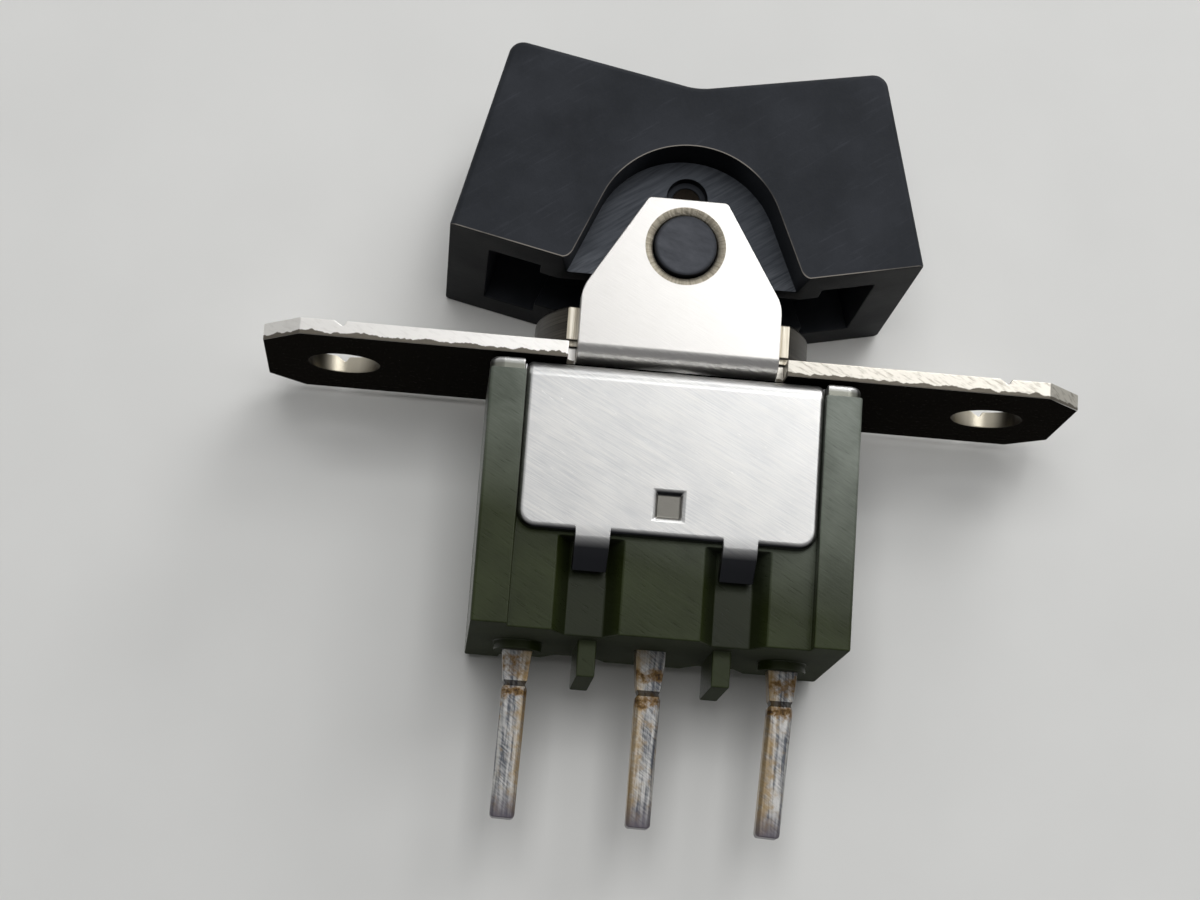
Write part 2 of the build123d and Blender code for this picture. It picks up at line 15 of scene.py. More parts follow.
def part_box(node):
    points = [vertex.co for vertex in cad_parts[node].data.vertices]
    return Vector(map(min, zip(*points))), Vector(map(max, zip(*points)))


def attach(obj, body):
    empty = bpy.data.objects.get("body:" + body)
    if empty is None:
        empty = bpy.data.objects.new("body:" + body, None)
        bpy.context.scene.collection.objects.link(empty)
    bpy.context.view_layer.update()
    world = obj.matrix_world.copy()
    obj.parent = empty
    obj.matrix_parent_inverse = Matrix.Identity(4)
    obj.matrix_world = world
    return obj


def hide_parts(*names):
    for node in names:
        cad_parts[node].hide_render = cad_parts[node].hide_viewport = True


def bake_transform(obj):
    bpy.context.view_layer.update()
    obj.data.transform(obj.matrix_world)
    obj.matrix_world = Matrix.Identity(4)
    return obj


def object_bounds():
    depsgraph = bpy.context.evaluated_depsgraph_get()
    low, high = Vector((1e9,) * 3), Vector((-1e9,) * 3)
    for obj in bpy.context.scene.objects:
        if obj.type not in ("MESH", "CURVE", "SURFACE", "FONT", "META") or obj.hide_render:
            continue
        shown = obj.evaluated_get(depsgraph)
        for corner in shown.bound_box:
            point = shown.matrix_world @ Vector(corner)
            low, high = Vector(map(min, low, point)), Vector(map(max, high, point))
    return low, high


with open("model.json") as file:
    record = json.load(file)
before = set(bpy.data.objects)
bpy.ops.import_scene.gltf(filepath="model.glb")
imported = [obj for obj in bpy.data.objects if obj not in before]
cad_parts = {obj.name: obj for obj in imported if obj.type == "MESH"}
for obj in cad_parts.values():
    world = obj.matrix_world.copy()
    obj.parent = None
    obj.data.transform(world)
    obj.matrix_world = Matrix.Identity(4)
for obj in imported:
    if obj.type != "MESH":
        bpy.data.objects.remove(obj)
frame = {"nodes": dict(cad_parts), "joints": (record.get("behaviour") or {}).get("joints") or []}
cad_box = [list(corner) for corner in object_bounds()]

MM = 0.001
HAIR = 0.01          # millimetres within which two places count as the same
ACROSS = {"X": (0, pi / 2, 0), "Y": (pi / 2, 0, 0), "Z": (0, 0, 0)}


def cad(node):
    """A CAD node's lowest and highest corner, in millimetres."""
    low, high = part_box(node)
    return low / MM, high / MM


# ---------------------------------------------------------------- sizes that the pieces share
PIVOT = frame["joints"][0]["pos_m"][2] / MM
FLANGE_THICKNESS = 0.6
EAR_OUTER = 3.6
EAR_INNER = EAR_OUTER - FLANGE_THICKNESS
EAR_WIDTH = 7.08
BOSS_RADIUS = 1.1
RECESS_FLOOR = 2.9
HOLE_RADIUS = 1.15
SINK_WIDTH = 0.28
COLLAR_HOLE_RADIUS = 2.4
SCREW_SPACING = 23.4
SCREW_HOLE_RADIUS = 1.275
FRAME_TOP = -0.78
CASE_TOP = cad("case")[1].z
CASE_BOTTOM = -10.15
CAVITY_FLOOR = -8.05
PLATE_SEAT = 3.31
PLATE_HALF_WIDTH = 5.2
PLATE_SHEET = 0.44
PLATE_OUTER = PLATE_SEAT + PLATE_SHEET
PLATE_BOTTOM = FRAME_TOP - 5.94
DENT_SIZE = 1.0
DENT_HEIGHT = -5.6
TERMINAL_PITCH = 4.7
TERMINAL_THICKNESS = 0.76
TERMINAL_ROOT_WIDTH = 1.05
TERMINAL_BOSS_BOTTOM = -10.5
NECK_HEIGHT = -11.68


# ---------------------------------------------------------------- modelling steps
def make_active(piece):
    bpy.ops.object.select_all(action="DESELECT")
    piece.select_set(True)
    bpy.context.view_layer.objects.active = piece


def start(name, shape, **settings):
    """Adds a primitive with nothing else selected and puts its place into its mesh."""
    bpy.ops.object.select_all(action="DESELECT")
    getattr(bpy.ops.mesh, "primitive_" + shape + "_add")(**settings)
    piece = bpy.context.active_object
    piece.name = name
    bpy.ops.object.transform_apply(location=True, rotation=True, scale=True)
    return piece


def block(name, low, high):
    low, high = Vector(low), Vector(high)
    return start(name, "cube", size=1, location=(low + high) / 2, scale=high - low)


def rod(name, radius, low, high, axis="Z", centre=(0, 0, 0), end_radius=None, sides=96):
    """A round bar along an axis; end_radius is its radius at the high end where that differs."""
    place = Vector(centre)
    place["XYZ".index(axis)] = (low + high) / 2
    far = radius if end_radius is None else end_radius
    if axis == "Y":
        radius, far = far, radius
    return start(name, "cone", vertices=sides, radius1=radius, radius2=far, depth=high - low,
                 location=place, rotation=ACROSS[axis])


def bar(name, corners, low, high, axis="Y"):
    """A straight bar whose section has these corners, in the plane across the axis."""
    piece = start(name, "circle", vertices=len(corners), radius=1, fill_type="NGON")
    order = {"X": (2, 0, 1), "Y": (0, 2, 1), "Z": (0, 1, 2)}[axis]
    for vertex, corner in zip(piece.data.vertices, corners):
        vertex.co = [(*corner, low)[i] for i in order]
    along = Vector([(0, 0, high - low)[i] for i in order])
    with editing(piece, "FACE") as select:
        select(lambda at, normal: True)
        bpy.ops.mesh.extrude_region_move(TRANSFORM_OT_translate={"value": along})
        bpy.ops.mesh.select_all(action="SELECT")
        bpy.ops.mesh.normals_make_consistent(inside=False)
    return piece


@contextmanager
def editing(piece, kind):
    """Edit mode on one piece; gives a function that selects by place and direction."""
    make_active(piece)
    bpy.ops.object.mode_set(mode="EDIT")
    bpy.ops.mesh.select_mode(type=kind)

    def select(test):
        mesh = bmesh.from_edit_mesh(piece.data)
        mesh.select_mode = {kind}
        for part in (*mesh.faces, *mesh.edges, *mesh.verts):
            part.select = False
        if kind == "FACE":
            for face in mesh.faces:
                face.select = test(face.calc_center_median(), face.normal)
        if kind == "EDGE":
            for edge in mesh.edges:
                ends = [end.co for end in edge.verts]
                edge.select = test((ends[0] + ends[1]) / 2, (ends[1] - ends[0]).normalized())
        if kind == "VERT":
            for vertex in mesh.verts:
                vertex.select = test(vertex.co, vertex.normal)
        mesh.select_flush_mode()
        bmesh.update_edit_mesh(piece.data)

    yield select
    bpy.ops.object.mode_set(mode="OBJECT")


def slice_at(piece, point, normal, only=None):
    """Cuts a line of edges round the piece, or round the faces that the test picks."""
    with editing(piece, "FACE") as select:
        select(only or (lambda at, facing: True))
        bpy.ops.mesh.bisect(plane_co=point, plane_no=normal, threshold=0.0001)


def bevel_edges(piece, test, width, segments):
    with editing(piece, "EDGE") as select:
        select(test)
        bpy.ops.mesh.bevel(offset=width, segments=segments, profile=0.5, clamp_overlap=False)


def combine(piece, other, operation="DIFFERENCE"):
    """Cuts another piece out of this one, or joins it on, and removes the other."""
    modifier = piece.modifiers.new(operation, "BOOLEAN")
    modifier.operation = operation
    modifier.object = other
    modifier.solver = "EXACT"
    make_active(piece)
    bpy.ops.object.modifier_apply(modifier=modifier.name)
    bpy.data.objects.remove(other)


def add(piece, other):
    combine(piece, other, "UNION")


def tidy(piece):
    """Merges doubles and takes out edges that lie within a flat face."""
    with editing(piece, "VERT") as select:
        select(lambda at, normal: True)
        bpy.ops.mesh.remove_doubles(threshold=0.018)
        bpy.ops.mesh.dissolve_limited(angle_limit=radians(0.3))


def soften(piece, width, segments=2, sharper_than=28):
    """Breaks every remaining sharp edge by a small width and shades the piece."""
    tidy(piece)
    bevel = piece.modifiers.new("broken_edges", "BEVEL")
    bevel.width = width
    bevel.segments = segments
    bevel.limit_method = "ANGLE"
    bevel.angle_limit = radians(sharper_than)
    bevel.miter_outer = "MITER_ARC"
    bevel.use_clamp_overlap = False
    make_active(piece)
    bpy.ops.object.modifier_apply(modifier=bevel.name)
    bpy.ops.object.shade_smooth_by_angle(angle=radians(40))
    weighted = piece.modifiers.new("flat_faces_first", "WEIGHTED_NORMAL")
    weighted.keep_sharp = True
    weighted.weight = 100
    bpy.ops.object.modifier_apply(modifier=weighted.name)


def finish_piece(piece, body, slot, material, *nodes):
    """Brings a piece to metres, gives it its finish and its body, where it has just one, and hides the
    CAD that it stands for."""
    make_active(piece)
    piece.scale = (MM, MM, MM)
    bpy.ops.object.transform_apply(location=False, rotation=False, scale=True)
    piece.data.materials.clear()
    piece.data.materials.append(material)
    if body:
        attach(piece, body)
    if nodes:
        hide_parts(*nodes)
    return piece


# ---------------------------------------------------------------- colours and nodes
def colour(hex_value):
    """An sRGB hex value as linear RGBA."""
    parts = [int(hex_value[i:i + 2], 16) / 255 for i in (1, 3, 5)]
    return [p / 12.92 if p <= 0.04045 else ((p + 0.055) / 1.055) ** 2.4 for p in parts] + [1.0]


def add_node(owner, kind, inputs=None, **settings):
    """Adds a node with its settings; an input is a value or a pair of node and output."""
    made = owner.node_tree.nodes.new("ShaderNode" + kind)
    for name, value in settings.items():
        setattr(made, name, value)
    for name, value in (inputs or {}).items():
        if isinstance(value, tuple) and isinstance(value[0], bpy.types.Node):
            owner.node_tree.links.new(value[0].outputs[value[1]], made.inputs[name])
        else:
            made.inputs[name].default_value = value
    return made


def new_material(name):
    material = bpy.data.materials.new(name)
    material.use_nodes = True
    material.node_tree.nodes.clear()
    return material


def finish_surface(material, inputs):
    surface = add_node(material, "BsdfPrincipled", inputs)
    add_node(material, "OutputMaterial", {"Surface": (surface, "BSDF")})
    return material


def drawn_marks(material, sizes, slant=0, detail=3):
    """Marks drawn out over real sizes in millimetres along X, Y and Z, turned down from X by a slant."""
    place = add_node(material, "TexCoord")
    laid_out = add_node(material, "Mapping", {"Vector": (place, "Object"), "Rotation": (0, radians(slant), 0),
                                              "Scale": [size * MM for size in sizes]}, vector_type="TEXTURE")
    return add_node(material, "TexNoise", {"Vector": (laid_out, "Vector"), "Scale": 1.0, "Detail": detail,
                                           "Roughness": 0.6})


# ---------------------------------------------------------------- materials
def moulded_black_nylon():
    """Black nylon from a finely spark-eroded mould: a soft bluish sheen, a faint haze, a few rubs, painted
    light and shade.
    """
    m = new_material("moulded_black_nylon")
    place = add_node(m, "TexCoord")
    grit = add_node(m, "TexNoise", {"Vector": (place, "Object"), "Scale": 1 / (0.1 * MM), "Detail": 3.0})
    haze = add_node(m, "TexNoise", {"Vector": (place, "Object"), "Scale": 1 / (3.5 * MM), "Detail": 5.0,
                                    "Roughness": 0.6})
    rubs = drawn_marks(m, (1.6, 0.6, 0.12), slant=-35, detail=4)
    haze_mask = add_node(m, "MapRange", {"Value": (haze, "Fac"), "From Min": 0.4, "From Max": 0.66})
    rub_mask = add_node(m, "MapRange", {"Value": (rubs, "Fac"), "From Min": 0.58, "From Max": 0.75})
    both = add_node(m, "Math", {0: (haze_mask, "Result"), 1: (rub_mask, "Result")}, operation="MULTIPLY")
    base = add_node(m, "Mix", {0: (haze_mask, "Result"), 6: colour("#202225"), 7: colour("#2d2f33")},
                    data_type="RGBA")
    rubbed_and_painted_sheen = add_node(m, "Mix", {0: (both, "Value"), 6: (base, 2), 7: colour("#37393e")}, data_type="RGBA")

    # the ends of the pivot bosses, rubbed pale by the ears, and the recess floors, painted paler as painted
    # light
    at = add_node(m, "SeparateXYZ", {"Vector": (place, "Object")})
    rise = add_node(m, "Math", {0: (at, "Z"), 1: PIVOT * MM}, operation="SUBTRACT")
    from_pivot = add_node(m, "CombineXYZ", {"X": (at, "X"), "Y": (rise, "Value")})
    radius = add_node(m, "VectorMath", {0: (from_pivot, "Vector")}, operation="LENGTH")
    near_pivot = add_node(m, "MapRange", {"Value": (radius, "Value"), "From Min": (BOSS_RADIUS + 0.05) * MM,
                                          "From Max": (BOSS_RADIUS - 0.15) * MM})
    outwards = add_node(m, "Math", {0: (at, "Y")}, operation="ABSOLUTE")
    on_end = add_node(m, "Math", {0: (outwards, "Value"), 1: EAR_INNER * MM}, operation="GREATER_THAN")
    boss_end = add_node(m, "Math", {0: (near_pivot, "Result"), 1: (on_end, "Value")}, operation="MULTIPLY")
    smudge = drawn_marks(m, (0.7, 0.5, 0.3), slant=20)
    worn = add_node(m, "MapRange", {"Value": (smudge, "Fac"), "From Min": 0.3, "From Max": 0.7,
                                    "To Min": 0.55, "To Max": 1.0})
    boss_wear = add_node(m, "Math", {0: (boss_end, "Value"), 1: (worn, "Result")}, operation="MULTIPLY")
    facing = add_node(m, "SeparateXYZ", {"Vector": (place, "Normal")})
    turned_out = add_node(m, "Math", {0: (facing, "Y")}, operation="ABSOLUTE")
    outward_turn = add_node(m, "Math", {0: (at, "Y"), 1: (facing, "Y")}, operation="MULTIPLY")
    faces_out = add_node(m, "Math", {0: (outward_turn, "Value"), 1: 0.9 * (RECESS_FLOOR - 0.03) * MM},
                         operation="GREATER_THAN")
    at_floor = add_node(m, "Math", {0: (outwards, "Value"), 1: RECESS_FLOOR * MM, 2: 0.03 * MM},
                        operation="COMPARE")
    in_recess = add_node(m, "Math", {0: (at_floor, "Value"), 1: (faces_out, "Value")}, operation="MULTIPLY")
    lower = add_node(m, "MapRange", {"Value": (at, "Z"), "From Min": (PIVOT - 0.2) * MM,
                                     "From Max": (PIVOT - 2.4) * MM, "To Min": 0.2, "To Max": 1.0})
    scuffs = add_node(m, "MapRange", {"Value": (rubs, "Fac"), "From Min": 0.36, "From Max": 0.64})
    scuffed = add_node(m, "Math", {0: (lower, "Result"), 1: (scuffs, "Result")}, operation="MULTIPLY")
    # the recess floors painted paler than the front, as painted light in the recess; pale scuffs towards the
    # bottom
    painted_floor_light_and_scuffs = add_node(m, "Mix", {0: (scuffed, "Value"), 6: colour("#393c41"), 7: colour("#767a80")},
                          data_type="RGBA")
    recess = add_node(m, "Mix", {0: (in_recess, "Value"), 6: (rubbed_and_painted_sheen, 2), 7: (painted_floor_light_and_scuffs, 2)},
                      data_type="RGBA")
    bossed = add_node(m, "Mix", {0: (boss_wear, "Value"), 6: (recess, 2), 7: colour("#4e5055")},
                      data_type="RGBA")

    # a painted highlight along the lower edges of the sides, partly rubbed wear, and painted shade underneath
    low_edge = add_node(m, "MapRange", {"Value": (facing, "Z"), "From Min": -0.03, "From Max": -0.25})
    side_edge = add_node(m, "MapRange", {"Value": (turned_out, "Value"), "From Min": 0.1, "From Max": 0.3})
    on_edge = add_node(m, "Math", {0: (low_edge, "Result"), 1: (side_edge, "Result")}, operation="MULTIPLY")
    on_side = add_node(m, "Math", {0: (outwards, "Value"), 1: (cad("rocker")[1].y - 0.15) * MM},
                       operation="GREATER_THAN")
    patches = add_node(m, "MapRange", {"Value": (haze, "Fac"), "From Min": 0.42, "From Max": 0.56,
                                       "To Min": 0.25, "To Max": 1.0})
    side_highlight_and_rub = add_node(m, "Math", {0: (on_side, "Value"), 1: (patches, "Result")}, operation="MULTIPLY")
    painted_edge_highlight_and_rub = add_node(m, "Math", {0: (on_edge, "Value"), 1: (side_highlight_and_rub, "Value")},
                           operation="MULTIPLY")
    # the pale lower edges are a painted highlight, partly rubbed wear
    edged = add_node(m, "Mix", {0: (painted_edge_highlight_and_rub, "Value"), 6: (bossed, 2), 7: colour("#8f8a83")},
                     data_type="RGBA")
    # painted shade: faces turned downwards painted near black
    below = add_node(m, "MapRange", {"Value": (facing, "Z"), "From Min": -0.75, "From Max": -0.92,
                                     "To Max": 0.8})
    tone = add_node(m, "Mix", {0: (below, "Result"), 6: (edged, 2), 7: colour("#050506")}, data_type="RGBA")
    sheen = add_node(m, "MapRange", {"Value": (below, "Result"), "To Min": 0.14, "To Max": 0.03})
    rough = add_node(m, "MapRange", {"Value": (haze, "Fac"), "From Min": 0.3, "From Max": 0.7,
                                     "To Min": 0.44, "To Max": 0.58})
    bump = add_node(m, "Bump", {"Height": (grit, "Fac"), "Strength": 0.4, "Distance": 0.01 * MM})
    return finish_surface(m, {"Base Color": (tone, 2), "Roughness": (rough, "Result"),
                              "Specular IOR Level": (sheen, "Result"), "Specular Tint": colour("#eef2ff"),
                              "Normal": (bump, "Normal")})


def nickel_plated_steel():
    """Satin nickel on stamped steel: fine slanting streaks, bright sheared edges with a torn lower
    band, an underside painted near black as painted shade and dulled, screw hole walls painted light in the
    middle and dark at the sides, and a coined ring round each pivot hole."""
    m = new_material("nickel_plated_steel")
    place = add_node(m, "TexCoord")
    at = add_node(m, "SeparateXYZ", {"Vector": (place, "Object")})
    facing = add_node(m, "SeparateXYZ", {"Vector": (place, "Normal")})
    streaks = drawn_marks(m, (0.9, 0.3, 0.035), slant=27)
    draw_marks = drawn_marks(m, (0.5, 0.3, 0.11), slant=27)
    tears = drawn_marks(m, (0.5, 0.5, 6), detail=6)
    grit = add_node(m, "TexNoise", {"Vector": (place, "Object"), "Scale": 1 / (0.06 * MM), "Detail": 3.0})

    # the torn lower band of the sheared edges, with a ragged upper border
    left = add_node(m, "MapRange", {"Value": (at, "X"), "From Min": -2 * MM, "From Max": 2 * MM,
                                    "To Min": -0.65 * MM, "To Max": -0.67 * MM})
    border = add_node(m, "Math", {0: (tears, "Fac"), 1: 0.42 * MM, 2: (left, "Result")},
                      operation="MULTIPLY_ADD")
    above = add_node(m, "Math", {0: (at, "Z"), 1: (border, "Value")}, operation="SUBTRACT")
    torn = add_node(m, "MapRange", {"Value": (above, "Value"), "From Min": 0.012 * MM,
                                    "From Max": -0.012 * MM})
    upright = add_node(m, "Math", {0: (facing, "Z")}, operation="ABSOLUTE")
    is_edge = add_node(m, "Math", {0: (upright, "Value"), 1: 0.5}, operation="LESS_THAN")
    along = add_node(m, "Math", {0: (at, "X")}, operation="ABSOLUTE")
    off_ear = add_node(m, "Math", {0: (along, "Value"), 1: (EAR_WIDTH / 2 + 0.04) * MM},
                       operation="GREATER_THAN")
    edge = add_node(m, "Math", {0: (is_edge, "Value"), 1: (off_ear, "Value")}, operation="MULTIPLY")
    across = add_node(m, "Math", {0: (at, "Y")}, operation="ABSOLUTE")
    inward = add_node(m, "Math", {0: (across, "Value"), 1: (EAR_OUTER - 0.85) * MM}, operation="LESS_THAN")
    off_bend = add_node(m, "Math", {0: (off_ear, "Value"), 1: (inward, "Value")}, operation="MAXIMUM")
    from_hole = add_node(m, "Math", {0: (along, "Value"), 1: SCREW_SPACING / 2 * MM}, operation="SUBTRACT")
    off_hole = add_node(m, "CombineXYZ", {"X": (from_hole, "Value"), "Y": (at, "Y")})
    hole_radius = add_node(m, "VectorMath", {0: (off_hole, "Vector")}, operation="LENGTH")
    in_hole = add_node(m, "Math", {0: (hole_radius, "Value"), 1: (SCREW_HOLE_RADIUS + 0.02) * MM},
                       operation="LESS_THAN")
    out_of_hole = add_node(m, "Math", {0: 1.0, 1: (in_hole, "Value")}, operation="SUBTRACT")
    outline = add_node(m, "Math", {0: (edge, "Value"), 1: (out_of_hole, "Value")}, operation="MULTIPLY")
    torn_edge = add_node(m, "Math", {0: (torn, "Result"), 1: (outline, "Value")}, operation="MULTIPLY")
    gouges = add_node(m, "MapRange", {"Value": (draw_marks, "Fac"), "From Min": 0.5, "From Max": 0.66})
    to_the_right = add_node(m, "MapRange", {"Value": (at, "X"), "From Min": -2 * MM, "From Max": 2 * MM,
                                            "To Min": 0.1, "To Max": 0.75})
    on_outline = add_node(m, "Math", {0: (to_the_right, "Result"), 1: (outline, "Value")},
                          operation="MULTIPLY")
    gouged = add_node(m, "Math", {0: (gouges, "Result"), 1: (on_outline, "Value")}, operation="MULTIPLY")

    # the ring that the countersink leaves round the pivot hole, scored outwards from its middle
    rise = add_node(m, "Math", {0: (at, "Z"), 1: PIVOT * MM}, operation="SUBTRACT")
    from_pivot = add_node(m, "CombineXYZ", {"X": (at, "X"), "Y": (rise, "Value")})
    radius = add_node(m, "VectorMath", {0: (from_pivot, "Vector")}, operation="LENGTH")
    in_ring = add_node(m, "Math", {0: (radius, "Value"), 1: (HOLE_RADIUS + SINK_WIDTH) * MM},
                       operation="LESS_THAN")
    outwards = add_node(m, "VectorMath", {0: (from_pivot, "Vector")}, operation="NORMALIZE")
    scores = add_node(m, "TexNoise", {"Vector": (outwards, "Vector"), "Scale": 14.0, "Detail": 3.0})
    score_mask = add_node(m, "MapRange", {"Value": (scores, "Fac"), "From Min": 0.35, "From Max": 0.65})
    ring_tone = add_node(m, "Mix", {0: (score_mask, "Result"), 6: colour("#8f887a"), 7: colour("#b3ac9c")},
                         data_type="RGBA")

    # painted shade: the flat underside away from the ear bends painted near black, with a dark specular tint
    # as a painted dark reflection
    flat_below = add_node(m, "MapRange", {"Value": (facing, "Z"), "From Min": -0.9, "From Max": -0.98})
    painted_dark_underside = add_node(m, "Math", {0: (flat_below, "Result"), 1: (off_bend, "Value")},
                         operation="MULTIPLY")
    bend = add_node(m, "MapRange", {"Value": (facing, "Z"), "From Min": -0.1, "From Max": -0.3,
                                    "To Min": 0.02, "To Max": 1.0})
    plain = add_node(m, "Mix", {0: (streaks, "Fac"), 6: colour("#cccac7"), 7: colour("#dcdad7")},
                     data_type="RGBA")
    rightwards = add_node(m, "MapRange", {"Value": (at, "X"), "From Min": -5 * MM, "From Max": 4 * MM})
    cut_tone = add_node(m, "Mix", {0: (rightwards, "Result"), 6: colour("#f6f4f0"), 7: colour("#c3bfb6")},
                        data_type="RGBA")
    cut = add_node(m, "Mix", {0: (outline, "Value"), 6: (plain, 2), 7: (cut_tone, 2)}, data_type="RGBA")
    with_gouges = add_node(m, "Mix", {0: (gouged, "Value"), 6: (cut, 2), 7: colour("#8d887e")},
                           data_type="RGBA")
    # the screw hole walls: a painted highlight across the middle, fading to painted shade at the sides
    hole_side = add_node(m, "Math", {0: (from_hole, "Value")}, operation="ABSOLUTE")
    to_the_side = add_node(m, "MapRange", {"Value": (hole_side, "Value"), "From Min": 0.5 * MM,
                                           "From Max": 1.15 * MM})
    painted_lobe_wall = add_node(m, "Mix", {0: (to_the_side, "Result"), 6: colour("#c6bfae"), 7: colour("#3b3731")},
                    data_type="RGBA")
    with_hole = add_node(m, "Mix", {0: (in_hole, "Value"), 6: (with_gouges, 2), 7: (painted_lobe_wall, 2)},
                         data_type="RGBA")
    with_tears = add_node(m, "Mix", {0: (torn_edge, "Value"), 6: (with_hole, 2), 7: colour("#6d685f")},
                          data_type="RGBA")
    with_ring = add_node(m, "Mix", {0: (in_ring, "Value"), 6: (with_tears, 2), 7: (ring_tone, 2)},
                         data_type="RGBA")
    base = add_node(m, "Mix", {0: (painted_dark_underside, "Value"), 6: (with_ring, 2), 7: colour("#2c2a27")},
                    data_type="RGBA")
    dull = add_node(m, "Math", {0: (torn_edge, "Value"), 1: (in_ring, "Value")}, operation="MAXIMUM")
    duller = add_node(m, "Math", {0: (dull, "Value"), 1: (painted_dark_underside, "Value")}, operation="MAXIMUM")
    rough = add_node(m, "MapRange", {"Value": (duller, "Value"), "To Min": 0.32, "To Max": 0.52})
    painted_dark_reflection_tint = add_node(m, "Mix", {0: (painted_dark_underside, "Value"), 6: colour("#ffffff"), 7: colour("#3c3a37")},
                    data_type="RGBA")
    drawn = add_node(m, "Bump", {"Height": (draw_marks, "Fac"), "Strength": (bend, "Result"),
                                 "Distance": 0.028 * MM})
    bump = add_node(m, "Bump", {"Height": (streaks, "Fac"), "Strength": 0.35, "Distance": 0.006 * MM,
                                "Normal": (drawn, "Normal")})
    grit_strength = add_node(m, "Math", {0: (dull, "Value"), 1: 0.6}, operation="MULTIPLY")
    rough_bump = add_node(m, "Bump", {"Height": (grit, "Fac"), "Strength": (grit_strength, "Value"),
                                      "Distance": 0.02 * MM, "Normal": (bump, "Normal")})
    return finish_surface(m, {"Base Color": (base, 2), "Roughness": (rough, "Result"), "Metallic": 1.0,
                              "Specular Tint": (painted_dark_reflection_tint, 2), "Normal": (rough_bump, "Normal")})


def turned_nickel():
    """Dull nickel on a turned bushing: fine rings from the lathe, upright cutter marks on the flats, and
    round sides painted dark as painted shade.
    """
    m = new_material("turned_nickel")
    place = add_node(m, "TexCoord")
    facing = add_node(m, "SeparateXYZ", {"Vector": (place, "Normal")})
    cutter = drawn_marks(m, (0.12, 0.12, 5), detail=2)
    lathe = drawn_marks(m, (5, 5, 0.06), detail=2)
    across = add_node(m, "Math", {0: (facing, "Y")}, operation="ABSOLUTE")
    is_flat = add_node(m, "Math", {0: (across, "Value"), 1: 0.9}, operation="GREATER_THAN")
    marks = add_node(m, "Mix", {0: (is_flat, "Value"), 2: (lathe, "Fac"), 3: (cutter, "Fac")})
    tone = add_node(m, "MapRange", {"Value": (marks, 0), "From Min": 0.35, "From Max": 0.65})
    flat_tone = add_node(m, "Mix", {0: (tone, "Result"), 6: colour("#b7ad99"), 7: colour("#f2ecdd")},
                         data_type="RGBA")
    # the round sides painted dark, as painted shade: a shaded copy of the flats' tone
    painted_shade_round_tone = add_node(m, "Mix", {0: (tone, "Result"), 6: colour("#2f2c27"), 7: colour("#48443d")},
                          data_type="RGBA")
    base = add_node(m, "Mix", {0: (is_flat, "Value"), 6: (painted_shade_round_tone, 2), 7: (flat_tone, 2)}, data_type="RGBA")
    bump = add_node(m, "Bump", {"Height": (marks, 0), "Strength": 0.6, "Distance": 0.015 * MM})
    return finish_surface(m, {"Base Color": (base, 2), "Roughness": 0.42, "Metallic": 1.0,
                              "Normal": (bump, "Normal")})


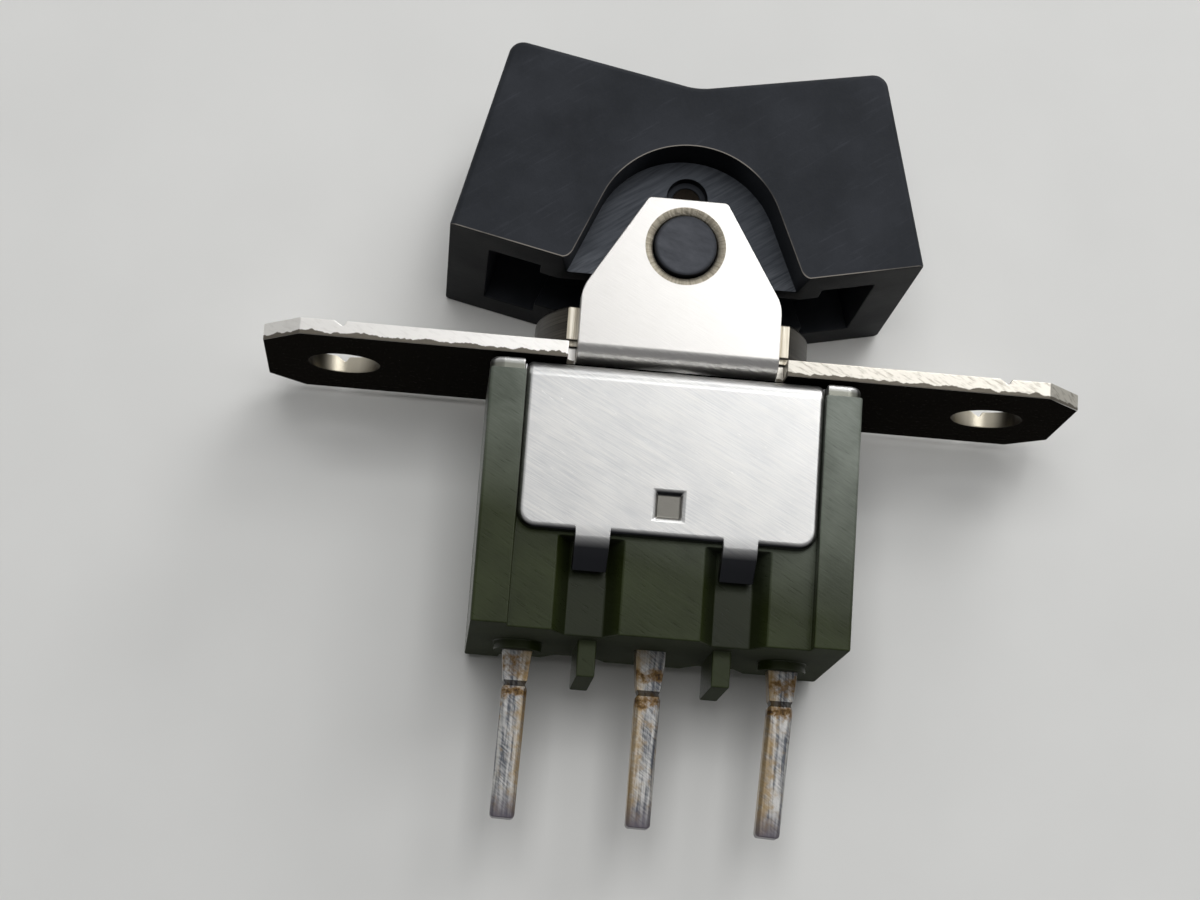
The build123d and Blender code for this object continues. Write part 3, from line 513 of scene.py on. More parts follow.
def tinned_sheet():
    """Tin on a folded steel sheet: pale grey, finely scratched on the slant, slightly uneven."""
    m = new_material("tinned_sheet")
    place = add_node(m, "TexCoord")
    scratches = drawn_marks(m, (1.1, 0.4, 0.035), slant=27, detail=4)
    nicks = drawn_marks(m, (0.45, 0.3, 0.045), slant=30, detail=2)
    clouds = add_node(m, "TexNoise", {"Vector": (place, "Object"), "Scale": 1 / (1.4 * MM), "Detail": 4.0})
    tone = add_node(m, "Math", {0: (clouds, "Fac"), 1: 0.35, 2: (scratches, "Fac")}, operation="MULTIPLY_ADD")
    mask = add_node(m, "MapRange", {"Value": (tone, "Value"), "From Min": 0.45, "From Max": 0.85})
    nick_mask = add_node(m, "MapRange", {"Value": (nicks, "Fac"), "From Min": 0.7, "From Max": 0.78})
    plain = add_node(m, "Mix", {0: (mask, "Result"), 6: colour("#c4c5c6"), 7: colour("#dcdbd8")},
                     data_type="RGBA")
    nicked = add_node(m, "Mix", {0: (nick_mask, "Result"), 6: (plain, 2), 7: colour("#f0efec")},
                      data_type="RGBA")

    # the floor of the square dent, painted darker as painted shade in the hollow
    at = add_node(m, "SeparateXYZ", {"Vector": (place, "Object")})
    depth = add_node(m, "MapRange", {"Value": (at, "Y"), "From Min": -(PLATE_OUTER - 0.11) * MM,
                                     "From Max": -(PLATE_OUTER - 0.15) * MM})
    aside = add_node(m, "Math", {0: (at, "X")}, operation="ABSOLUTE")
    beside = add_node(m, "Math", {0: (aside, "Value"), 1: DENT_SIZE / 2 * MM}, operation="LESS_THAN")
    drop = add_node(m, "Math", {0: (at, "Z"), 1: DENT_HEIGHT * MM, 2: DENT_SIZE / 2 * MM}, operation="COMPARE")
    in_front = add_node(m, "Math", {0: (at, "Y"), 1: 0.0}, operation="LESS_THAN")
    beside_front = add_node(m, "Math", {0: (beside, "Value"), 1: (in_front, "Value")}, operation="MULTIPLY")
    across_dent = add_node(m, "Math", {0: (beside_front, "Value"), 1: (drop, "Value")},
                           operation="MULTIPLY")
    in_dent = add_node(m, "Math", {0: (depth, "Result"), 1: (across_dent, "Value")}, operation="MULTIPLY")
    painted_dent_shade = add_node(m, "Mix", {0: (in_dent, "Value"), 6: (nicked, 2), 7: colour("#7d7b75")},
                      data_type="RGBA")

    # the sheared front edges of the ends, torn dull below, and the tabs painted dark as painted shade
    beyond = add_node(m, "Math", {0: (aside, "Value"), 1: (PLATE_HALF_WIDTH + 0.05) * MM},
                      operation="GREATER_THAN")
    below_top = add_node(m, "MapRange", {"Value": (at, "Z"), "From Min": (FRAME_TOP - 0.1) * MM,
                                         "From Max": (FRAME_TOP - 0.26) * MM})
    sheared = add_node(m, "Math", {0: (beyond, "Value"), 1: (below_top, "Result")}, operation="MULTIPLY")
    with_ends = add_node(m, "Mix", {0: (sheared, "Value"), 6: (painted_dent_shade, 2), 7: colour("#85867d")},
                         data_type="RGBA")
    painted_tab_shade = add_node(m, "MapRange", {"Value": (at, "Z"), "From Min": (PLATE_BOTTOM + 0.25) * MM,
                                      "From Max": (PLATE_BOTTOM - 0.9) * MM})
    with_tabs = add_node(m, "Mix", {0: (painted_tab_shade, "Result"), 6: (with_ends, 2), 7: colour("#34353a")},
                         data_type="RGBA")
    facing = add_node(m, "SeparateXYZ", {"Vector": (place, "Normal")})
    # faces turned downwards painted dark, as painted shade
    painted_lower_edge_shade = add_node(m, "MapRange", {"Value": (facing, "Z"), "From Min": -0.3, "From Max": -0.7})
    base = add_node(m, "Mix", {0: (painted_lower_edge_shade, "Result"), 6: (with_tabs, 2), 7: colour("#36373b")},
                    data_type="RGBA")
    rough = add_node(m, "MapRange", {"Value": (scratches, "Fac"), "From Min": 0.3, "From Max": 0.7,
                                     "To Min": 0.3, "To Max": 0.42})
    uneven = add_node(m, "Bump", {"Height": (clouds, "Fac"), "Strength": 0.3, "Distance": 0.02 * MM})
    bump = add_node(m, "Bump", {"Height": (scratches, "Fac"), "Strength": 0.25, "Distance": 0.006 * MM,
                                "Normal": (uneven, "Normal")})
    return finish_surface(m, {"Base Color": (base, 2), "Roughness": (rough, "Result"), "Metallic": 1.0,
                              "Normal": (bump, "Normal")})


def olive_phenolic():
    """Olive green phenolic from a lapped mould: satin, with fine slanting polishing lines, a painted sheen
    paler towards the top and the right, groove floors painted dark as painted shade, and dull underneath."""
    m = new_material("olive_phenolic")
    place = add_node(m, "TexCoord")
    at = add_node(m, "SeparateXYZ", {"Vector": (place, "Object")})
    facing = add_node(m, "SeparateXYZ", {"Vector": (place, "Normal")})
    laps = drawn_marks(m, (0.7, 0.4, 0.06), slant=30)
    clouds = add_node(m, "TexNoise", {"Vector": (place, "Object"), "Scale": 1 / (1.8 * MM), "Detail": 4.0})
    tone = add_node(m, "Math", {0: (laps, "Fac"), 1: 0.6, 2: (clouds, "Fac")}, operation="MULTIPLY_ADD")
    mask = add_node(m, "MapRange", {"Value": (tone, "Value"), "From Min": 0.6, "From Max": 1.0})
    # a painted sheen: the surface painted paler towards the top and the right
    across = add_node(m, "Math", {0: (at, "X"), 1: 0.25, 2: (at, "Z")}, operation="MULTIPLY_ADD")
    rubbed_and_painted_sheen = add_node(m, "MapRange", {"Value": (across, "Value"), "From Min": -7.8 * MM,
                                      "From Max": -0.6 * MM})
    olive = add_node(m, "Mix", {0: (mask, "Result"), 6: colour("#1d230b"), 7: colour("#272e15")},
                     data_type="RGBA")
    painted_sheen_tone = add_node(m, "Mix", {0: (mask, "Result"), 6: colour("#5a6058"), 7: colour("#7d837b")},
                     data_type="RGBA")
    with_painted_sheen = add_node(m, "Mix", {0: (rubbed_and_painted_sheen, "Result"), 6: (olive, 2), 7: (painted_sheen_tone, 2)}, data_type="RGBA")
    # the groove floors painted dark, as painted shade
    outwards = add_node(m, "Math", {0: (at, "Y")}, operation="ABSOLUTE")
    sunk = add_node(m, "MapRange", {"Value": (outwards, "Value"), "From Min": (PLATE_SEAT - 0.05) * MM,
                                    "From Max": (PLATE_SEAT - 0.5) * MM, "To Max": 0.6})
    turned_out = add_node(m, "Math", {0: (facing, "Y")}, operation="ABSOLUTE")
    faces_out = add_node(m, "Math", {0: (turned_out, "Value"), 1: 0.4}, operation="GREATER_THAN")
    on_body = add_node(m, "Math", {0: (at, "Z"), 1: CASE_BOTTOM * MM}, operation="GREATER_THAN")
    outer = add_node(m, "Math", {0: (faces_out, "Value"), 1: (on_body, "Value")}, operation="MULTIPLY")
    painted_groove_shade = add_node(m, "Math", {0: (sunk, "Result"), 1: (outer, "Value")}, operation="MULTIPLY")
    base = add_node(m, "Mix", {0: (painted_groove_shade, "Value"), 6: (with_painted_sheen, 2), 7: colour("#0c0f07")},
                    data_type="RGBA")
    rough = add_node(m, "MapRange", {"Value": (laps, "Fac"), "From Min": 0.3, "From Max": 0.7,
                                     "To Min": 0.26, "To Max": 0.4})
    below = add_node(m, "MapRange", {"Value": (facing, "Z"), "From Min": -0.5, "From Max": -0.9,
                                     "To Max": 0.85})
    dull = add_node(m, "Math", {0: (rough, "Result"), 1: (below, "Result")}, operation="MAXIMUM")
    bump = add_node(m, "Bump", {"Height": (laps, "Fac"), "Strength": 0.4, "Distance": 0.01 * MM})
    return finish_surface(m, {"Base Color": (base, 2), "Roughness": (dull, "Value"),
                              "Specular IOR Level": 0.3, "Normal": (bump, "Normal")})


def tinned_terminal():
    """Tin on copper alloy, dipped in solder: drawn lengthwise and scratched across, golden along one
    edge and in mottles, with amber flux above and below the dark line of the neck."""
    m = new_material("tinned_terminal")
    place = add_node(m, "TexCoord")
    at = add_node(m, "SeparateXYZ", {"Vector": (place, "Object")})
    runs = drawn_marks(m, (0.12, 0.1, 2.0), slant=1.5)
    scratches = drawn_marks(m, (0.45, 0.3, 0.04), slant=38)
    stains = add_node(m, "TexNoise", {"Vector": (place, "Object"), "Scale": 1 / (0.35 * MM), "Detail": 5.0,
                                      "Roughness": 0.65})
    tone = add_node(m, "Math", {0: (scratches, "Fac"), 1: 0.55, 2: (runs, "Fac")}, operation="MULTIPLY_ADD")
    tone_mask = add_node(m, "MapRange", {"Value": (tone, "Value"), "From Min": 0.64, "From Max": 0.92})
    metal = add_node(m, "Mix", {0: (tone_mask, "Result"), 6: colour("#5c6067"), 7: colour("#cfcecb")},
                     data_type="RGBA")

    # gold along the right edge of the left terminal and the left edges of the other two
    from_middle = add_node(m, "Math", {0: (at, "X"), 1: TERMINAL_PITCH / 2 * MM, 2: -TERMINAL_PITCH / 2 * MM},
                           operation="WRAP")
    on_left = add_node(m, "Math", {0: (at, "X"), 1: -TERMINAL_PITCH / 2 * MM}, operation="LESS_THAN")
    turned = add_node(m, "MapRange", {"Value": (on_left, "Value"), "To Min": -1.0, "To Max": 1.0})
    towards = add_node(m, "Math", {0: (from_middle, "Value"), 1: (turned, "Result")}, operation="MULTIPLY")
    edge_line = add_node(m, "MapRange", {"Value": (towards, "Value"), "From Min": -0.05 * MM,
                                         "From Max": 0.42 * MM})
    gold = add_node(m, "Math", {0: (edge_line, "Result"), 1: 0.3, 2: (stains, "Fac")},
                    operation="MULTIPLY_ADD")
    gold_mask = add_node(m, "MapRange", {"Value": (gold, "Value"), "From Min": 0.52, "From Max": 0.8,
                                         "To Max": 0.75})
    with_gold = add_node(m, "Mix", {0: (gold_mask, "Result"), 6: (metal, 2), 7: colour("#a98f62")},
                         data_type="RGBA")

    # flux left as two amber bands beside the neck, and the neck itself darkened
    above_neck = add_node(m, "Math", {0: (at, "Z"), 1: (NECK_HEIGHT + 0.65) * MM}, operation="SUBTRACT")
    below_neck = add_node(m, "Math", {0: (at, "Z"), 1: (NECK_HEIGHT - 0.3) * MM}, operation="SUBTRACT")
    far_above = add_node(m, "Math", {0: (above_neck, "Value")}, operation="ABSOLUTE")
    far_below = add_node(m, "Math", {0: (below_neck, "Value")}, operation="ABSOLUTE")
    band_above = add_node(m, "MapRange", {"Value": (far_above, "Value"), "From Min": 0.5 * MM,
                                          "From Max": 0.1 * MM, "To Max": 0.26})
    band_below = add_node(m, "MapRange", {"Value": (far_below, "Value"), "From Min": 0.35 * MM,
                                          "From Max": 0.05 * MM, "To Max": 0.34})
    bands = add_node(m, "Math", {0: (band_above, "Result"), 1: (band_below, "Result")}, operation="MAXIMUM")
    flux = add_node(m, "Math", {0: (bands, "Value"), 1: (stains, "Fac")}, operation="ADD")
    flux_mask = add_node(m, "MapRange", {"Value": (flux, "Value"), "From Min": 0.62, "From Max": 0.82})
    burnt_mask = add_node(m, "MapRange", {"Value": (flux, "Value"), "From Min": 0.76, "From Max": 0.9})
    with_flux = add_node(m, "Mix", {0: (flux_mask, "Result"), 6: (with_gold, 2), 7: colour("#86683c")},
                         data_type="RGBA")
    with_burns = add_node(m, "Mix", {0: (burnt_mask, "Result"), 6: (with_flux, 2), 7: colour("#35261a")},
                          data_type="RGBA")
    in_neck = add_node(m, "Math", {0: (at, "Z"), 1: (NECK_HEIGHT + 0.02) * MM, 2: 0.1 * MM},
                       operation="COMPARE")
    darkened_neck = add_node(m, "Math", {0: (in_neck, "Value"), 1: 0.85}, operation="MULTIPLY")
    with_dark_neck = add_node(m, "Mix", {0: (darkened_neck, "Value"), 6: (with_burns, 2), 7: colour("#1d1814")},
                          data_type="RGBA")
    tip = add_node(m, "MapRange", {"Value": (at, "Z"), "From Min": -15.3 * MM, "From Max": -16.4 * MM})
    base = add_node(m, "Mix", {0: (tip, "Result"), 6: (with_dark_neck, 2), 7: colour("#66616a")}, data_type="RGBA")
    metallic = add_node(m, "MapRange", {"Value": (burnt_mask, "Result"), "To Min": 1.0, "To Max": 0.5})
    bump = add_node(m, "Bump", {"Height": (tone, "Value"), "Strength": 0.5, "Distance": 0.02 * MM})
    return finish_surface(m, {"Base Color": (base, 2), "Roughness": 0.36, "Metallic": (metallic, "Result"),
                              "Normal": (bump, "Normal")})


def plain_metal(name, low, high, rough, grain=(0.06, 0.06, 1.2)):
    """A drawn or turned metal inside the switch, with its fine working marks."""
    m = new_material(name)
    marks = drawn_marks(m, grain)
    base = add_node(m, "Mix", {0: (marks, "Fac"), 6: colour(low), 7: colour(high)}, data_type="RGBA")
    bump = add_node(m, "Bump", {"Height": (marks, "Fac"), "Strength": 0.4, "Distance": 0.01 * MM})
    return finish_surface(m, {"Base Color": (base, 2), "Roughness": rough, "Metallic": 1.0,
                              "Normal": (bump, "Normal")})


def plain_moulding(name, low, high, rough):
    """A small moulding inside the switch: slightly cloudy, with a fine grain."""
    m = new_material(name)
    place = add_node(m, "TexCoord")
    clouds = add_node(m, "TexNoise", {"Vector": (place, "Object"), "Scale": 1 / (0.8 * MM), "Detail": 4.0})
    grit = add_node(m, "TexNoise", {"Vector": (place, "Object"), "Scale": 1 / (0.07 * MM), "Detail": 2.0})
    base = add_node(m, "Mix", {0: (clouds, "Fac"), 6: colour(low), 7: colour(high)}, data_type="RGBA")
    bump = add_node(m, "Bump", {"Height": (grit, "Fac"), "Strength": 0.3, "Distance": 0.008 * MM})
    return finish_surface(m, {"Base Color": (base, 2), "Roughness": rough, "Normal": (bump, "Normal")})


# ---------------------------------------------------------------- rocker
ROCKER_TOP_LENGTH = 13.3
ROCKER_END_TOP = 10.58
ROCKER_VALLEY = 9.34
ROCKER_END_BOTTOM = 3.526
ROCKER_UNDERSIDE_LENGTH = 8.7
ROCKER_ROOF = 1.5
ROCKER_END_WALL = 1.4
ROCKER_HOLLOW_OVERRUN = 0.5
RECESS_RADIUS = 3.35
RECESS_FLARE = radians(23)
RECESS_WALL = 0.9
PIN_HEIGHT = 5.8
BOSS_REACH = 3.72


def rocker_solid(name, inset_ends, inset_roof, half_depth):
    """The rocker's outline as a solid: drafted ends, a shallow V on top and a dropped underside."""
    low, high = cad("rocker")
    bottom = high.x - inset_ends
    top = ROCKER_TOP_LENGTH / 2 - inset_ends
    peak = ROCKER_END_TOP - inset_roof
    half_under = ROCKER_UNDERSIDE_LENGTH / 2
    solid = block(name, (-bottom, -half_depth, ROCKER_END_BOTTOM), (bottom, half_depth, peak))
    with editing(solid, "FACE") as select:
        select(lambda at, normal: normal.z > 0.9)
        bpy.ops.transform.resize(value=(top / bottom, 1, 1), center_override=(0, 0, 0))
    slice_at(solid, (0, 0, 0), (1, 0, 0))
    with editing(solid, "EDGE") as select:
        select(lambda at, along: abs(at.x) < HAIR and at.z > peak - HAIR)
        bpy.ops.transform.translate(value=(0, 0, ROCKER_VALLEY - ROCKER_END_TOP))
    for x in (-half_under, half_under):
        slice_at(solid, (x, 0, 0), (1, 0, 0))
    with editing(solid, "FACE") as select:
        select(lambda at, normal: normal.z < -0.9 and abs(at.x) < half_under)
        bpy.ops.transform.translate(value=(0, 0, low.z - ROCKER_END_BOTTOM))
    tidy(solid)
    return solid


RECESS_STEPS = 56


def recess_solid(grow, low_y, high_y):
    """The half-round recess over an ear; its sides flare out below the round."""
    radius = RECESS_RADIUS + grow
    half_turn = pi - 2 * RECESS_FLARE
    angles = [RECESS_FLARE + half_turn * step / RECESS_STEPS for step in range(RECESS_STEPS + 1)]
    round_top = [(radius * cos(angle), PIVOT + radius * sin(angle)) for angle in angles]
    foot_z = cad("rocker")[0].z - RECESS_RADIUS
    foot_x = round_top[0][0] + (round_top[0][1] - foot_z) * tan(RECESS_FLARE)
    return bar("recess", [*round_top, (-foot_x, foot_z), (foot_x, foot_z)], low_y, high_y)


def make_rocker():
    low, high = cad("rocker")
    rocker = rocker_solid("rocker_shell", 0, 0, high.y)
    bevel_edges(rocker, lambda at, along: abs(along.y) > 0.9 and abs(at.x) > 5 and at.z > 9, 0.5, 8)
    bevel_edges(rocker, lambda at, along: abs(along.y) > 0.9 and abs(at.x) < HAIR and at.z > 9, 0.4, 8)
    bevel_edges(rocker, lambda at, along: abs(along.y) < 0.1 and abs(at.y) > high.y - HAIR
                and at.z > ROCKER_END_BOTTOM + HAIR, 0.22, 5)
    hollow = rocker_solid("hollow", ROCKER_END_WALL, ROCKER_ROOF, RECESS_FLOOR)
    with editing(hollow, "FACE") as select:
        select(lambda at, normal: normal.z < -0.5)
        bpy.ops.transform.translate(value=(0, 0, -ROCKER_HOLLOW_OVERRUN))
    wall_inner = RECESS_FLOOR - RECESS_WALL
    for side in (-1, 1):
        ends = sorted((side * (RECESS_FLOOR + 1), side * wall_inner))
        combine(hollow, recess_solid(RECESS_WALL, *ends))
    combine(rocker, hollow)
    for side in (-1, 1):
        ends = sorted((side * (high.y + 1), side * RECESS_FLOOR))
        combine(rocker, recess_solid(0, *ends))
    tidy(rocker)
    bevel_edges(rocker, lambda at, along: abs(along.y) > 0.9 and at.z < low.z + HAIR
                and abs(at.y) > RECESS_FLOOR and 3 < abs(at.x) < ROCKER_UNDERSIDE_LENGTH / 2 - HAIR, 0.3, 6)
    socket = block("socket", (-1.7, -wall_inner - 0.1, 4.7), (1.7, wall_inner + 0.1, 8.6))
    add(rocker, socket)
    combine(rocker, rod("lever_bore", 0.9, 4, 7.2))
    boss = rod("boss", BOSS_RADIUS, -BOSS_REACH, BOSS_REACH, "Y", (0, 0, PIVOT))
    bevel_edges(boss, lambda at, along: abs(at.y) > BOSS_REACH - HAIR, 0.1, 4)
    combine(boss, block("boss_middle", (-2, 0.2 - RECESS_FLOOR, 2), (2, RECESS_FLOOR - 0.2, 6)))
    add(rocker, boss)
    combine(rocker, rod("pin_hole", 0.5, -3.5, 3.5, "Y", (0, 0, PIN_HEIGHT), sides=48))
    for side in (-1, 1):
        ends = sorted((side * 3.5, side * (RECESS_FLOOR - 0.4)))
        combine(rocker, rod("pin_sink", 0.72, *ends, "Y", (0, 0, PIN_HEIGHT), sides=64))
    soften(rocker, 0.06)
    finish_piece(rocker, "rocker_unit", "rocker_plastic", moulded_black_nylon(), "rocker")


# ---------------------------------------------------------------- bracket
EAR_TOP_WIDTH = 2.8
EAR_SHOULDER = 1.95
SINK_DEPTH = 0.13


def make_bracket():
    low, high = cad("bracket")
    bracket = block("bracket_sheet", (low.x, low.y, -FLANGE_THICKNESS), (high.x, high.y, 0))
    for x in (-EAR_WIDTH / 2, EAR_WIDTH / 2):
        slice_at(bracket, (x, 0, 0), (1, 0, 0))
    for y in (-EAR_INNER, EAR_INNER):
        slice_at(bracket, (0, y, 0), (0, 1, 0))
    with editing(bracket, "FACE") as select:
        select(lambda at, normal: normal.z > 0.9 and abs(at.x) < EAR_WIDTH / 2 and abs(at.y) > EAR_INNER)
        bpy.ops.mesh.extrude_region_move(TRANSFORM_OT_translate={"value": (0, 0, high.z)})
    slice_at(bracket, (0, 0, EAR_SHOULDER), (0, 0, 1))
    with editing(bracket, "FACE") as select:
        select(lambda at, normal: normal.z > 0.9 and at.z > high.z - HAIR)
        bpy.ops.transform.resize(value=(EAR_TOP_WIDTH / EAR_WIDTH, 1, 1), center_override=(0, 0, 0))
    tidy(bracket)
    bevel_edges(bracket, lambda at, along: abs(along.y) > 0.9 and at.z > high.z - HAIR, 0.11, 5)
    bevel_edges(bracket, lambda at, along: abs(along.y) > 0.9 and abs(at.z - EAR_SHOULDER) < HAIR, 0.33, 8)
    bevel_edges(bracket, lambda at, along: abs(along.z) > 0.9 and abs(at.x) > high.x - HAIR, 1.3, 1)
    for x in (-1, 1):
        for y in (-1, 1):
            near = (x * EAR_WIDTH / 2, y * (EAR_OUTER - 0.95))
            far = (x * (EAR_WIDTH / 2 + 0.3), y * (EAR_OUTER + 1))
            corners = [sorted(pair) for pair in zip(near, far)]
            combine(bracket, block("relief", (corners[0][0], corners[1][0], -1),
                                   (corners[0][1], corners[1][1], 0.5)))
    bevel_edges(bracket, lambda at, along: abs(along.x) > 0.9 and abs(at.x) < EAR_WIDTH / 2
                and at.z < HAIR - FLANGE_THICKNESS and abs(at.y) > EAR_OUTER - HAIR, 0.8, 12)
    bevel_edges(bracket, lambda at, along: abs(along.x) > 0.9 and abs(at.x) < EAR_WIDTH / 2
                and abs(at.z) < HAIR and abs(abs(at.y) - EAR_INNER) < HAIR, 0.2, 5)
    combine(bracket, rod("collar_hole", COLLAR_HOLE_RADIUS, -1, 1))
    for x in (-SCREW_SPACING / 2, SCREW_SPACING / 2):
        combine(bracket, rod("screw_hole", SCREW_HOLE_RADIUS, -1, 1, "Z", (x, 0, 0), sides=72))
        groove = bar("index_groove", [(x - 0.32, 0.05), (x - 0.32, 0), (x, -0.2), (x + 0.12, 0),
                                      (x + 0.12, 0.05)], -5, 5)
        combine(bracket, groove)
    combine(bracket, rod("pivot_hole", HOLE_RADIUS, -5, 5, "Y", (0, 0, PIVOT)))
    overrun = 0.1
    mouth = HOLE_RADIUS + SINK_WIDTH * (SINK_DEPTH + overrun) / SINK_DEPTH
    combine(bracket, rod("pivot_sink", mouth, -EAR_OUTER - overrun, SINK_DEPTH - EAR_OUTER, "Y",
                         (0, 0, PIVOT), end_radius=HOLE_RADIUS))
    combine(bracket, rod("pivot_sink", HOLE_RADIUS, EAR_OUTER - SINK_DEPTH, EAR_OUTER + overrun, "Y",
                         (0, 0, PIVOT), end_radius=mouth))
    soften(bracket, 0.04)
    finish_piece(bracket, "base", "bracket_steel", nickel_plated_steel(), "bracket")


# ---------------------------------------------------------------- collar
RIM_THICKNESS = 0.2


def make_collar():
    low, high = cad("collar")
    head = rod("collar_turning", 4.95, 0, high.z, sides=160)
    for side in (-1, 1):
        with editing(head, "FACE") as select:
            select(lambda at, normal: True)
            bpy.ops.mesh.bisect(plane_co=(0, side * EAR_INNER, 0), plane_no=(0, side, 0),
                                clear_outer=True, use_fill=True)
    tidy(head)
    bevel_edges(head, lambda at, along: at.z > high.z - HAIR, 0.12, 4)
    for side in (-1, 1):
        ends = sorted((side * (EAR_INNER - 0.2), side * (EAR_INNER + 1)))
        combine(head, block("bend_relief", (-6, ends[0], -1), (6, ends[1], 0.2)))
    add(head, rod("neck", 2.35, low.z, 0.1))
    add(head, rod("rim", 2.5, low.z, low.z + RIM_THICKNESS))
    combine(head, rod("bore", 1.95, low.z - 0.01, high.z + 0.01, end_radius=1.65))
    soften(head, 0.04)
    finish_piece(head, "base", "collar_metal", turned_nickel(), "collar")


# ---------------------------------------------------------------- frame
TAB_SPACING = 5.1
TAB_WIDTH = 1.2
TAB_REACH = 0.7
TAB_DROP = 0.75
PLATE_ROLL = 0.2
TOP_EDGE_ROLL = 0.16
SLIT_WIDTH = 0.1
SLIT_DEPTH = 0.75
SEAT_RADIUS = 2.7
RIM_ROOM_RADIUS = 2.55
DENT_DEPTH = 0.18
DENT_FLOOR = 0.79


def make_frame():
    low, high = cad("frame")
    outer = PLATE_OUTER
    plate_bottom = PLATE_BOTTOM
    saddle = block("frame_sheet", (-PLATE_HALF_WIDTH, -outer, plate_bottom),
                   (PLATE_HALF_WIDTH, outer, FRAME_TOP))
    bevel_edges(saddle, lambda at, along: abs(along.x) > 0.9 and at.z > FRAME_TOP - HAIR, 0.6, 12)
    bevel_edges(saddle, lambda at, along: abs(along.y) > 0.9 and at.z < plate_bottom + HAIR, 0.65, 10)
    bevel_edges(saddle, lambda at, along: abs(at.y) > outer - 0.6 - HAIR
                and (abs(at.x) > PLATE_HALF_WIDTH - HAIR or at.z < plate_bottom + 0.65 + HAIR)
                and not (abs(along.y) > 0.9 and at.z < FRAME_TOP - 0.7), PLATE_ROLL, 5)
    inside = block("inside", (-9, -PLATE_SEAT, plate_bottom - 1), (9, PLATE_SEAT, CASE_TOP))
    bevel_edges(inside, lambda at, along: abs(along.x) > 0.9 and at.z > CASE_TOP - HAIR, 0.1, 4)
    combine(saddle, inside)
    top = block("frame_top", (low.x, -outer, CASE_TOP), (high.x, outer, FRAME_TOP))
    bevel_edges(top, lambda at, along: abs(along.z) > 0.9, 0.5, 8)
    bevel_edges(top, lambda at, along: at.z > FRAME_TOP - HAIR, TOP_EDGE_ROLL, 4)
    combine(top, block("saddle_room", (-PLATE_HALF_WIDTH, -5, -2), (PLATE_HALF_WIDTH, 5, 0)))
    add(saddle, top)
    bend = plate_bottom - 0.2
    slope = hypot(TAB_REACH, TAB_DROP)
    end_in = TAB_REACH - PLATE_SHEET * TAB_DROP / slope
    end_down = TAB_DROP + PLATE_SHEET * TAB_REACH / slope
    kink = PLATE_SHEET * (slope - TAB_DROP) / TAB_REACH
    for side in (-1, 1):
        for x in (-1, 1):
            slit = [sorted((x * PLATE_HALF_WIDTH, x * (PLATE_HALF_WIDTH + SLIT_WIDTH))),
                    sorted((side * (outer - SLIT_DEPTH), side * (outer + 1)))]
            combine(saddle, block("slit", (slit[0][0], slit[1][0], -2), (slit[0][1], slit[1][1], 0)))
        for x in (-TAB_SPACING / 2, TAB_SPACING / 2):
            section = [(side * y, z) for y, z in (
                (outer, plate_bottom + 0.2), (PLATE_SEAT, plate_bottom + 0.2), (PLATE_SEAT, bend),
                (PLATE_SEAT - TAB_REACH, bend - TAB_DROP), (PLATE_SEAT - end_in, bend - end_down),
                (outer, bend - kink))]
            tab = bar("tab", section, x - TAB_WIDTH / 2, x + TAB_WIDTH / 2, "X")
            bevel_edges(tab, lambda at, along: abs(along.x) > 0.9 and abs(abs(at.y) - PLATE_SEAT) < HAIR
                        and at.z < plate_bottom, 0.06, 4)
            bevel_edges(tab, lambda at, along: abs(along.x) > 0.9 and abs(abs(at.y) - outer) < HAIR
                        and at.z < plate_bottom, 0.23, 6)
            add(saddle, tab)
    add(saddle, rod("seat", SEAT_RADIUS, CASE_TOP, -FLANGE_THICKNESS))
    rim_top = RIM_THICKNESS - FLANGE_THICKNESS - PLATE_SHEET
    combine(saddle, rod("rim_room", RIM_ROOM_RADIUS, CASE_TOP - 0.5, rim_top))
    combine(saddle, rod("collar_hole", COLLAR_HOLE_RADIUS, -3, 1))
    dent = block("dent", (-DENT_SIZE / 2, -outer, DENT_HEIGHT - DENT_SIZE / 2),
                 (DENT_SIZE / 2, DENT_DEPTH - outer, DENT_HEIGHT + DENT_SIZE / 2))
    with editing(dent, "FACE") as select:
        select(lambda at, normal: normal.y > 0.9)
        bpy.ops.transform.resize(value=(DENT_FLOOR, 1, DENT_FLOOR), center_override=(0, -outer, DENT_HEIGHT))
    with editing(dent, "FACE") as select:
        select(lambda at, normal: normal.y < -0.9)
        bpy.ops.mesh.extrude_region_move(TRANSFORM_OT_translate={"value": (0, -1, 0)})
    combine(saddle, dent)
    tidy(saddle)
    bevel_edges(saddle, lambda at, along: at.y < HAIR - outer and abs(at.x) < DENT_SIZE / 2 + HAIR
                and abs(at.z - DENT_HEIGHT) < DENT_SIZE / 2 + HAIR, 0.09, 4)
    soften(saddle, 0.04)
    finish_piece(saddle, "base", "frame_steel", tinned_sheet(), "frame")


# ---------------------------------------------------------------- case
PILASTER_WIDTH = 1.27
GROOVE_TOP = -6.84


